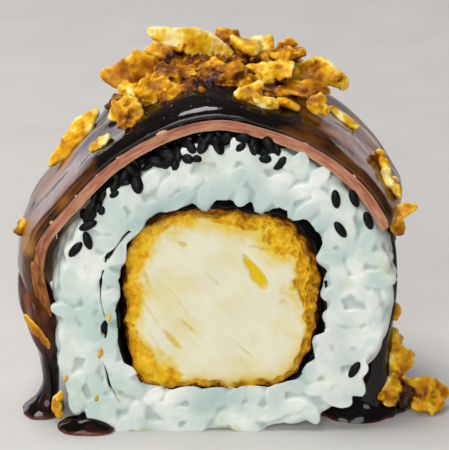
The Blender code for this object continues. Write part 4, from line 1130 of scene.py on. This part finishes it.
crispLook = {
    "around": 28,
    "rings": 26,
    "jag": 0.42,  # how far the torn outline wanders, as a share of the width
    "voxel": 0.23,
    "crumb": 1.5,  # length of the crumbs that cling to a flake
    "crumbSpacing": 1.7,
    "ridge": 0.46,
    "ridgeSize": 1.9,
    "grit": 0.10,
    "gritSize": 0.7,
    # each flake: spine, half widths along it, half thickness, which way it faces, how toasted, how crumbly
    "top": (
        (((-10.8, 0, 55.2), (-6.6, 0, 53.9), (-2.6, 1, 53.0), (1.4, 2, 50.6)),
         (0.9, 1.8, 1.9, 1.1), 0.8, (0, -1, 0.3), 0.08, 0.1),
        (((-17.4, -2, 49.6), (-14.4, -2, 49.2), (-11.0, -1, 49.4), (-8.0, 0, 49.4)),
         (0.8, 2.5, 2.9, 2.0), 0.8, (0, -1, 0.3), 0.30, 0.08),
        (((-11.4, 2, 51.6), (-8.0, 2, 51.2), (-5.0, 1, 49.6), (-3.0, 0, 47.8)),
         (1.4, 2.4, 2.4, 1.6), 1.0, (0, -1, 0.4), 0.34, 0.35),
        (((-7.0, 1, 51.6), (-3.4, 0.4, 50.8), (0.4, 1, 49.8)), (0.8, 1.3, 1.0), 0.9, (0, -0.8, 0.6), 0.85, 0.45),
        (((-1.0, 3, 54.2), (0.6, 3, 52.6), (2.6, 3, 51.0)), (1.2, 2.0, 1.8), 1.1, (0, -1, 0.2), 0.40, 0.4),
        (((2.0, 3, 52.4), (5.0, 3, 51.0), (7.2, 2, 49.6)), (1.4, 2.2, 1.6), 1.2, (0, -1, 0.3), 0.32, 0.5),
        (((9.5, 3, 53.2), (8.7, 3, 51.9), (7.2, 2.5, 50.2), (6.0, 2, 48.8)),
         (1.5, 1.5, 0.9, 1.2), 1.0, (0.2, -1, 0.1), 0.30, 0.15),
        (((-2.7, -4, 46.9), (-1.5, -4, 49.0), (0.6, -4, 50.6)), (1.3, 1.7, 1.2), 1.1, (0, -1, 0.3), 0.38, 0.8),
        (((0.8, -3, 50.2), (4.4, -3, 49.3), (8.0, -2, 49.2), (10.4, 0, 49.6)),
         (1.4, 1.9, 1.7, 1.0), 1.1, (0, -1, 0.5), 0.34, 0.6),
        (((1.0, -9, 47.2), (3.0, -9, 48.0), (4.8, -8.4, 49.4)), (1.1, 1.7, 1.2), 1.0, (0, -1, 0.3), 0.26, 0.9),
        (((3.4, -9.6, 47.2), (6.0, -9.6, 47.2), (7.6, -9, 46.8)), (0.8, 1.1, 0.7), 0.8, (0, -1, 0.5), 0.08, 0.4),
        (((7.2, -4, 48.0), (11.0, -4.6, 47.8), (14.8, -4, 47.6)), (1.2, 1.8, 1.2), 0.7, (0, -0.5, 0.9), 0.48, 0.05),
        (((8.4, 1, 48.4), (12.0, 1, 49.0), (15.2, 1, 48.4), (17.2, 1, 46.6)),
         (1.3, 1.9, 1.6, 1.1), 1.3, (0, -1, 0.6), 0.30, 0.6),
        (((11.4, -7, 47.4), (12.8, -7.6, 46.4), (14.0, -8, 45.2)), (0.8, 1.2, 0.8), 0.8, (0.3, -1, 0.6), 0.40, 0.8),
        (((-15.6, -8, 45.6), (-13.4, -8, 45.6), (-11.2, -8, 45.8)), (1.4, 2.3, 1.8), 1.3, (0, -1, 0.5), 0.28, 0.9),
        (((-11.8, -6, 47.6), (-9.6, -6, 48.6), (-7.6, -6, 49.0)), (1.3, 2.1, 1.4), 1.2, (0, -1, 0.4), 0.34, 1.0),
        (((-13.0, 6, 47.2), (-9.0, 7, 49.0), (-5.0, 7, 49.4)), (1.4, 2.4, 1.6), 1.2, (0, 0.8, 0.6), 0.42, 0.4),
        (((-3.4, 7, 50.0), (0.4, 7.6, 50.4), (3.6, 7, 49.6)), (1.5, 2.3, 1.4), 1.2, (0, 1, 0.5), 0.30, 0.5),
        (((5.0, 7, 49.8), (8.6, 7, 49.0), (12.0, 6, 47.8)), (1.4, 2.2, 1.5), 1.1, (0, 0.8, 0.6), 0.50, 0.3),
    ),
    "right": (
        (((24.0, -4.6, 12.2), (24.6, -4.8, 11.0), (24.4, -5, 9.6)), (0.8, 1.1, 1.0), 1.2, (0.3, -1, 0), 0.28, 0.5),
        (((24.4, -5, 10.0), (25.1, -5.2, 7.8), (24.9, -5.6, 5.2)), (1.2, 1.8, 0.9), 1.5, (0.3, -1, 0), 0.26, 0.6),
        (((24.4, -6.2, 6.0), (24.0, -7.0, 4.2), (23.4, -8.0, 1.8)), (0.8, 1.4, 1.4), 1.2, (0.1, -1, 0.2), 0.42, 0.8),
        (((25.2, -6.4, 5.2), (26.2, -6.9, 3.1), (26.1, -7.6, 1.2)), (0.6, 1.0, 1.2), 1.2, (0.2, -1, 0.2), 0.95, 0.3),
        (((25.3, -5.6, 5.0), (27.6, -5.3, 3.7), (30.2, -4.8, 2.5), (32.6, -4.4, 2.6)),
         (0.8, 1.7, 1.9, 1.5), 1.6, (0, -1, 0.6), 0.30, 0.45),
        (((26.8, -7.2, 1.9), (29.0, -7.0, 1.7), (31.6, -6.0, 1.6)), (1.0, 1.4, 1.1), 1.2, (0, -0.7, 0.7), 0.44, 0.8),
    ),
    # a sliver beside the drip, crumbs in the puddle and on the strand of sauce, and two flakes at the beef's right end
    "strays": (
        (((-28.2, -10.2, 16.8), (-26.6, -11.4, 15.2), (-25.2, -11.7, 13.6), (-24.6, -11.2, 11.8)),
         (0.5, 0.6, 0.65, 0.45), 0.5, (-0.5, -1, 0.2), 0.34, 0.1),
        (((-23.7, -9.4, 4.4), (-23.9, -9.8, 2.8), (-23.3, -10.4, 1.0)), (0.5, 0.75, 0.6), 0.6, (0, -1, 0.2), 0.24, 0.5),
        (((24.2, -6.2, 17.0), (24.6, -6.4, 15.8), (24.2, -6.6, 14.3)), (0.4, 0.65, 0.45), 0.6, (0.2, -1, 0.1), 0.36, 0.0),
        (((23.3, -9.2, 31.8), (24.9, -9.4, 32.1), (26.8, -9.5, 32.6)), (0.9, 1.0, 0.7), 0.6, (0, -1, 0.3), 0.20, 0.1),
        (((23.6, -10.0, 30.9), (24.1, -10.2, 29.5), (24.1, -10.1, 28.5)), (0.9, 1.05, 0.8), 0.9, (0, -1, 0.2), 0.24, 0.3),
    ),
    "leaning": ((0.552, 0.5, 1.7), (0.585, 0.0, 1.1), (0.622, -0.5, 1.0), (0.670, -1.0, 1.2)),  # share, depth, height
    "stuck": (  # share along the arc, depth, slope on the surface in degrees, length, half width, how toasted
        (0.050, -8.4, 84, 4.8, 1.2, 0.20), (0.075, -5.5, 20, 4.6, 1.3, 0.34), (0.160, -3.0, 80, 5.0, 1.1, 0.16),
        (0.255, -8.0, 75, 3.6, 1.3, 0.36), (0.275, -1.5, 60, 5.6, 1.5, 0.22), (0.560, -9.0, 70, 3.8, 1.2, 0.14),
        (0.760, -6.5, 80, 2.6, 1.0, 0.28),
    ),
    "onFace": (  # across, up and half length of crumbs caught on the cut face
        (-17.4, 12.0, 0.8), (-16.0, 17.4, 0.55), (-22.3, 8.2, 0.7), (-23.2, 5.4, 0.8), (-18.0, 5.2, 0.5),
    ),
}


def flake(
    spine, halfWidths, halfThickness, facing, toast, crumbly, seed,
    around=crispLook["around"], rings=crispLook["rings"],
):
    # one torn, curled flake; returns its points and faces, how toasted each point is with painted light on its thin
    # rims and tips, and how crumbly each point is
    share = ((1 - np.cos(np.linspace(0, np.pi, rings + 1))) / 2)[1:-1]
    centre = curveThrough(spine, share)
    along = curveThrough(spine, np.minimum(1, share + 0.02)) - curveThrough(spine, np.maximum(0, share - 0.02))
    along /= np.linalg.norm(along, axis=1)[:, None]
    side = np.cross(along, np.asarray(facing, dtype=float))
    side /= np.linalg.norm(side, axis=1)[:, None]
    out = np.cross(side, along)
    blunt = (2 * np.sqrt(share * (1 - share))) ** 0.6
    width = curveThrough([(w,) for w in halfWidths], share)[:, 0] * blunt
    angle = np.linspace(0, 2 * np.pi, around, endpoint=False)
    curl, widest = 0.45 * math.sin(seed * 2.3 + 0.7), max(halfWidths)
    edges = [1 + crispLook["jag"] * lumps(xyz(share * 5, s, seed * 1.3), 1.0, seed, 2) for s in (0.0, 9.0)]
    points, pale = [], []
    for i in range(len(share)):
        across = np.cos(angle) * width[i] * np.where(np.cos(angle) > 0, edges[0][i], edges[1][i])
        flank = np.abs(np.sin(angle)) ** 0.8 * halfThickness * 0.72 * blunt[i]
        lift = curl * (across / widest) ** 2 * widest * 0.8
        points.append(centre[i] + side[i] * across[:, None] + out[i] * (np.sign(np.sin(angle)) * flank + lift)[:, None])
        # painted light shining through the thin rims and tips
        pale.append(0.22 * np.abs(np.cos(angle)) ** 3 + 0.22 * smoothStep(min(share[i], 1 - share[i]), 0.14, 0.0))
    points = np.vstack([*points, points[0].mean(axis=0), points[-1].mean(axis=0)])
    shade = toast + 0.06 + 0.15 * lumps(points, 3.5, seed) - np.concatenate([*pale, (0.22, 0.22)])
    return points, fannedFaces(len(share), around), shade, np.full(len(points), float(crumbly))


def flakeHeap(name, parts, seed):
    # flakes and the crumbs that cling to them, fused, then roughened like fried batter
    faces, count = [], 0
    for part in parts:
        faces += [tuple(count + c for c in face) for face in part[1]]
        count += len(part[0])
    points = np.vstack([part[0] for part in parts])
    shades, crumbly = (np.concatenate([part[i] for part in parts]) for i in (2, 3))
    bare = meshObject(name + "Bare", points, faces)
    writeAttribute(bare, "density", smoothStep(crumbly + 0.5 * lumps(points, 4.0, seed + 40, 2), 0.25, 0.75))
    clinging = scattered(name + "Crumbs", bare, {
        "Spacing": crispLook["crumbSpacing"],
        "Length": crispLook["crumb"],
        "Width": crispLook["crumb"] * 0.75,
        "Thickness": crispLook["crumb"] * 0.6,
        "Sunk": 0.05,
        "Tilt": 1.2,
        "Uneven": 0.45,
        "Sides": 8,
        "Finish": crispFinish,
        "Seed": 5 + seed,
    })
    heap = shaped(joined(name, [bare, clinging], crispFinish), "REMESH", mode="VOXEL", voxel_size=crispLook["voxel"] * mm)
    body, normals = readPoints(heap), readVectors(heap, "normal")
    nearest = KDTree(len(points))
    for i, place in enumerate(points.tolist()):
        nearest.insert(place, i)
    nearest.balance()
    owner = np.array([nearest.find(place)[1] for place in body.tolist()])
    rough = 0.35 + 0.65 * crumbly[owner]
    crest = ridges(body, crispLook["ridgeSize"], seed + 2.0, 3)
    craggy = crispLook["ridge"] * (crest - 0.55) + crispLook["grit"] * lumps(body, crispLook["gritSize"], seed + 5.0)
    body = body + normals * (rough * craggy + 0.35 * (1 - rough) * lumps(body, 3.0, seed + 7.0))[:, None]
    writePoints(heap, body)
    up = readVectors(heap, "normal")[:, 2]
    # painted shade and highlights: darker on the undersides, lighter on the crests and on the upward faces; the rest is
    # each flake's toasting and random patches
    toast = shades[owner] + 0.10 + 0.32 * smoothStep(-up, 0.1, 0.9) - 0.26 * smoothStep(crest, 0.55, 0.95) * rough
    toast += 0.36 * lumps(body, 2.6, seed + 9.0, 3) - 0.10 * smoothStep(up, 0.3, 0.9)
    writeAttribute(heap, "toast", np.clip(toast, 0, 1))
    # painted shade: darker in the creases
    writeAttribute(heap, "crease", np.clip(hollowness(heap, 6) * 5.0, 0, 1.0))
    heap.data.materials.clear()
    heap.data.materials.append(crispFinish)
    heap.data.shade_smooth()
    return heap


def strewnFlakes():
    # the same draw as in the solid: flakes strewn over the bed, thickest along the middle of the heap
    draw = random.Random(20)
    made = []
    for column, share in enumerate((0.28, 0.345, 0.41, 0.475)):
        for row, y in enumerate((-3.6, 1.2, 5.6)):
            lift = draw.uniform(1.6, 3.0) + 1.2 * (row == 1)
            y += draw.uniform(-1.0, 1.0)
            place, out = beefPlace([share + draw.uniform(-0.015, 0.015)], [y], beefForm["thickness"] + lift)
            slope = draw.uniform(0, math.pi)
            level = Vector((math.cos(slope), math.sin(slope), draw.uniform(-0.5, 0.5)))
            reach = level.normalized() * draw.uniform(2.2, 3.2)
            widths = [draw.uniform(1.2, 2.1) for _ in range(3)]
            lean = (Vector(out[0]) + Vector((0, draw.uniform(-0.6, 0.6), 0))).normalized()
            middle = Vector(place[0])
            spine = (middle - reach, middle, middle + reach)
            thick, toast = draw.uniform(0.8, 1.3), 0.28 + 0.4 * math.sin(column * 2 + row) ** 2
            crumbly = 0.5 + 0.4 * math.sin(3 * column + row)
            made.append(flake(spine, widths, thick, lean, toast, crumbly, 100 + 3 * column + row))
    return made


def heapBed():
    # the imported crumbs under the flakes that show
    middle, halfShare, halfDepth, middleDepth = 0.385, 0.165, 9.0, 0.5
    steps, rows = 90, 56
    share, y = gridOver(
        np.linspace(middle - halfShare, middle + halfShare, steps),
        np.linspace(middleDepth - halfDepth, middleDepth + halfDepth, rows),
    )
    out = np.hypot((share - middle) / halfShare, (y - middleDepth) / halfDepth)
    rough = lumps(xyz(24 * share, 0.35 * y, 8.0), 1.0)
    base, way = beefPlace(share, y, np.full(len(y), beefForm["thickness"]))
    # 1 in the middle of each crumb, falling to 0 in the clefts between them
    crumbs = np.array([1 - min(1.0, noise.voronoi(p)[0][0] * 1.35) for p in (base / 1.8 + 7.0 * 5.31).tolist()])
    height = 2.2 * (1 - out ** 3) + 1.5 * rough + 0.9 * (crumbs - 0.4) + 0.4 * lumps(base, 0.9, 5.0, 2)
    points = np.vstack([base - way * 0.9, base + way * np.maximum(height, -0.6)[:, None]])
    # dark brown: crumbs soaked in glaze, and painted shade under and between the flakes
    shade = 0.72 + 0.55 * lumps(points, 3.4, 17.0, 2)
    return points, slabFaces(steps, rows), shade, np.full(len(points), 0.9)


def stuckFlake(share, y, slope, length, width, toast, seed):
    places, outs = beefPlace([share, share + 0.02], [y, y], beefForm["thickness"] + 0.5)
    facing = Vector(outs[0])
    along = Matrix.Rotation(math.radians(slope - 90), 3, facing) @ Vector(places[1] - places[0]).normalized()
    middle = Vector(places[0])
    spine = (middle - along * length / 2, middle, middle + along * length / 2)
    return flake(spine, (0.6 * width, width, 0.6 * width), 0.85, facing, toast, 0.5, seed)


def buildCrisps():
    parts = [heapBed()] + [flake(*row, i) for i, row in enumerate(crispLook["top"])] + strewnFlakes()
    top = flakeHeap("crispHeap", parts, 1)
    shares, depths, lifts = (np.array(column) for column in zip(*crispLook["leaning"]))
    spine, outs = beefPlace(shares, depths, beefForm["thickness"] + lifts)
    facing = np.array((-0.5, -1.0, 0.3)) + 0.6 * outs[-1]
    left = flakeHeap("crispLeaning", [flake(spine, (0.8, 1.5, 1.5, 0.7), 1.1, facing, 0.16, 0.3, 31, 40, 40)], 2)
    right = flakeHeap("crispsFallen", [flake(*row, 40 + i) for i, row in enumerate(crispLook["right"])], 3)
    parts = [stuckFlake(*row, 60 + i) for i, row in enumerate(crispLook["stuck"])]
    parts += [flake(*row, 71 + i) for i, row in enumerate(crispLook["strays"])]
    for i, (x, z, size) in enumerate(crispLook["onFace"]):
        spine = [(x + step * 0.3, -12.9, z + step) for step in (-size, 0.0, size)]
        parts.append(flake(spine, (0.3 * size, 0.5 * size, 0.4 * size), 0.35, (0, -1, 0), 0.2, 0.0, 80 + i))
    return top, left, right, flakeHeap("crispsStuck", parts, 4)


crisps = buildCrisps()
crispTop, crispLeft, crispRight, crispStuck = crisps
print("crisps:", sum(len(obj.data.polygons) for obj in crisps), "faces")

sauceLook = {  # height, across, depth, half length across, half length in depth
    "drip": (
        (0.0, -26.2, -4.8, 3.2, 4.4), (0.4, -26.2, -4.8, 3.4, 4.6), (1.2, -25.9, -4.8, 2.7, 3.8),
        (2.6, -25.4, -4.8, 1.8, 3.0), (5.0, -25.0, -4.8, 1.3, 2.8), (9.0, -25.2, -4.9, 1.6, 3.8),
        (12.0, -25.7, -5.0, 2.0, 5.2), (14.6, -26.2, -5.0, 2.3, 6.0), (17.0, -26.7, -4.8, 2.5, 6.2),
        (19.5, -27.2, -4.4, 2.2, 5.4), (21.5, -27.8, -3.8, 1.5, 3.8), (23.0, -28.0, -3.4, 0.7, 2.0),
    ),
    "puddle": (
        (0.0, -19.3, -11.6, 4.4, 3.2), (0.4, -19.3, -11.6, 4.5, 3.3), (1.1, -19.3, -11.6, 3.6, 2.8),
        (1.8, -19.3, -11.6, 2.3, 2.0), (2.3, -19.3, -11.6, 0.9, 0.9),
    ),
    "pool": (
        (0.0, 19.0, -3.4, 8.2, 6.8), (0.5, 19.2, -3.4, 8.0, 6.6), (1.2, 19.6, -3.6, 6.9, 6.0), (2.0, 20.0, -4.0, 4.8, 5.0),
        (3.6, 20.7, -4.4, 3.5, 4.4), (7.0, 21.3, -4.8, 2.5, 3.9), (11.0, 22.2, -5.2, 2.0, 3.2), (14.5, 23.0, -5.6, 1.3, 2.2),
        (17.5, 23.5, -6.2, 0.9, 1.3), (21.0, 23.9, -7.2, 0.5, 0.6), (25.0, 23.8, -8.4, 0.3, 0.4), (28.4, 23.3, -9.4, 0.3, 0.4),
        (31.2, 23.1, -9.9, 0.4, 0.6),
    ),
}


def buildDrop(name, levels, seed, foot, top):
    # stacked level ellipses, smoothed into one run of sauce
    around, steps = 80, 90
    stack = curveThrough(levels, np.linspace(0, 1, steps))
    stack[:, 0] = np.maximum(stack[:, 0], 0.0)
    angle = np.linspace(0, 2 * np.pi, around, endpoint=False)
    points = np.vstack([
        xyz(x + halfX * np.cos(angle), y + halfY * np.sin(angle), z) for z, x, y, halfX, halfY in stack
    ])
    wavy = lumps(points * np.array((1, 1, 0.5)), 3.5, seed, 2)
    centre, half = np.repeat(stack[:, 1:3], around, axis=0), np.repeat(stack[:, 3:5], around, axis=0)
    lean = (points[:, :2] - centre) / half
    points[:, :2] = centre + lean * half * (1 - 0.16 * np.clip(0.5 + wavy, 0, 1.4))[:, None]
    drop = meshObject(name, points, drumFaces(steps, around), dripFinish)
    share = foot + (top - foot) * smoothStep(points[:, 2], 6.0, 13.0)
    writeAttribute(drop, "thin", np.clip(share + 0.6 * smoothStep(points[:, 2], 0.9, 0.0) + 0.3 * wavy, 0, 1))
    return drop


drip = buildDrop("glazeDrip", sauceLook["drip"], 2.0, 0.08, 0.44)
puddle = buildDrop("glazePuddle", sauceLook["puddle"], 4.0, 0.08, 0.08)
pool = buildDrop("glazePool", sauceLook["pool"], 6.0, -0.12, 0.0)
print("sauce: 3 pieces")


def keepInside(obj):
    # nothing reaches past the solid model's own box
    low, high = (np.array(c) / mm - rollShift for c in cadBox)
    writePoints(obj, np.clip(readPoints(obj), low + 0.03 * np.array((1, 1, 0)), high - 0.03))


for piece, slotName, nodes in (
    (rice, "sushi_rice", ("rice",)),
    (sesame, "sushi_rice", ("rice",)),
    (nori, "nori", ("nori",)),
    (cutlet, "fried_cutlet", ("cutlet",)),
    (beef, "seared_beef", ("beef",)),
    (glaze, "soy_glaze", ("beef",)),
    (crispTop, "crisp_onion", ("crisps_top",)),
    (crispLeft, "crisp_onion", ("crisp_left",)),
    (crispRight, "crisp_onion", ("crisps_right",)),
    (crispStuck, "crisp_onion", ("beef",)),
    (drip, "soy_glaze", ("sauce_left",)),
    (puddle, "soy_glaze", ("sauce_puddle",)),
    (pool, "soy_glaze", ("sauce_right",)),
):
    keepInside(piece)
    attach(piece, "root")
    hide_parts(*nodes)


def buildFloor():
    # a pale matt board that curves up far behind the roll
    made, tree, shader, place = newMaterial("paleBoard")
    fleck = addNode(tree, "ShaderNodeTexNoise", inputs={"Vector": place, "Scale": 60.0, "Detail": 3.0})
    colour = addNode(tree, "ShaderNodeValToRGB", {"stops": ((0.3, "#C9C7C3"), (0.7, "#CFCDC9"))}, {"Fac": fleck})
    setInputs(tree, shader, {"Base Color": colour, "Roughness": 0.75})
    profile = ((-0.9, 0.0), (0.35, 0.0), (0.48, 0.01), (0.56, 0.05), (0.6, 0.13), (0.61, 0.9))
    shape = bmesh.new()
    rows = [[shape.verts.new((x, y, z)) for x in (-1.2, 1.2)] for y, z in profile]
    for near, far in zip(rows, rows[1:]):
        shape.faces.new((near[0], near[1], far[1], far[0]))
    floor = fromShape("floor", shape, made)


def addLight(name, place, target, size, power, colour):
    light = bpy.data.lights.new(name, "AREA")
    light.shape = "ELLIPSE"
    light.size, light.size_y = size
    light.energy = power
    light.color = hexColour(colour)[:3]
    made = bpy.data.objects.new(name, light)
    made.location = place
    made.rotation_euler = (Vector(target) - Vector(place)).to_track_quat("-Z", "Y").to_euler()
    made.visible_camera = False
    bpy.context.scene.collection.objects.link(made)


studio = {
    "air": 0.16,
    "lights": (  # name, place and target in metres, size, watts, colour
        ("keyLight", (-0.14, -0.02, 0.62), (0, 0, 0.03), (0.40, 0.30), 2.9, "#FFFFFF"),
        ("backLeftLight", (-0.32, 0.40, 0.16), (0, 0, 0.03), (0.30, 0.30), 0.42, "#F0E8F2"),
        ("backRightLight", (0.34, 0.38, 0.18), (0, 0, 0.03), (0.28, 0.30), 0.38, "#F3EAF2"),
        ("leftLight", (-0.50, -0.04, 0.12), (0, 0, 0.03), (0.16, 0.30), 0.3, "#E8DEE8"),
        ("frontLight", (-0.12, -0.55, 0.26), (0, 0, 0.025), (0.5, 0.4), 2.2, "#FFFFFF"),
    ),
    "lens": 175.2,
    "cameraPlace": (-0.00155, -0.29576, 0.12867),
    "cameraTilt": 71,
}

buildFloor()
for row in studio["lights"]:
    addLight(*row)

world = bpy.data.worlds.new("studioAir")
world.use_nodes = True
bpy.context.scene.world = world
setInputs(world.node_tree, world.node_tree.nodes["Background"], {"Color": hexColour("#E6E6E8"), "Strength": studio["air"]})

camera = bpy.data.cameras.new("photoCamera")
camera.sensor_width = 36.0
camera.lens = studio["lens"]
camera.clip_start = 0.01
cameraObject = bpy.data.objects.new("photoCamera", camera)
cameraObject.location = studio["cameraPlace"]
cameraObject.rotation_euler = (math.radians(studio["cameraTilt"]), 0, 0)
bpy.context.scene.collection.objects.link(cameraObject)
bpy.context.scene.camera = cameraObject
bpy.context.scene.view_settings.view_transform = "Standard"
print("stage ready")
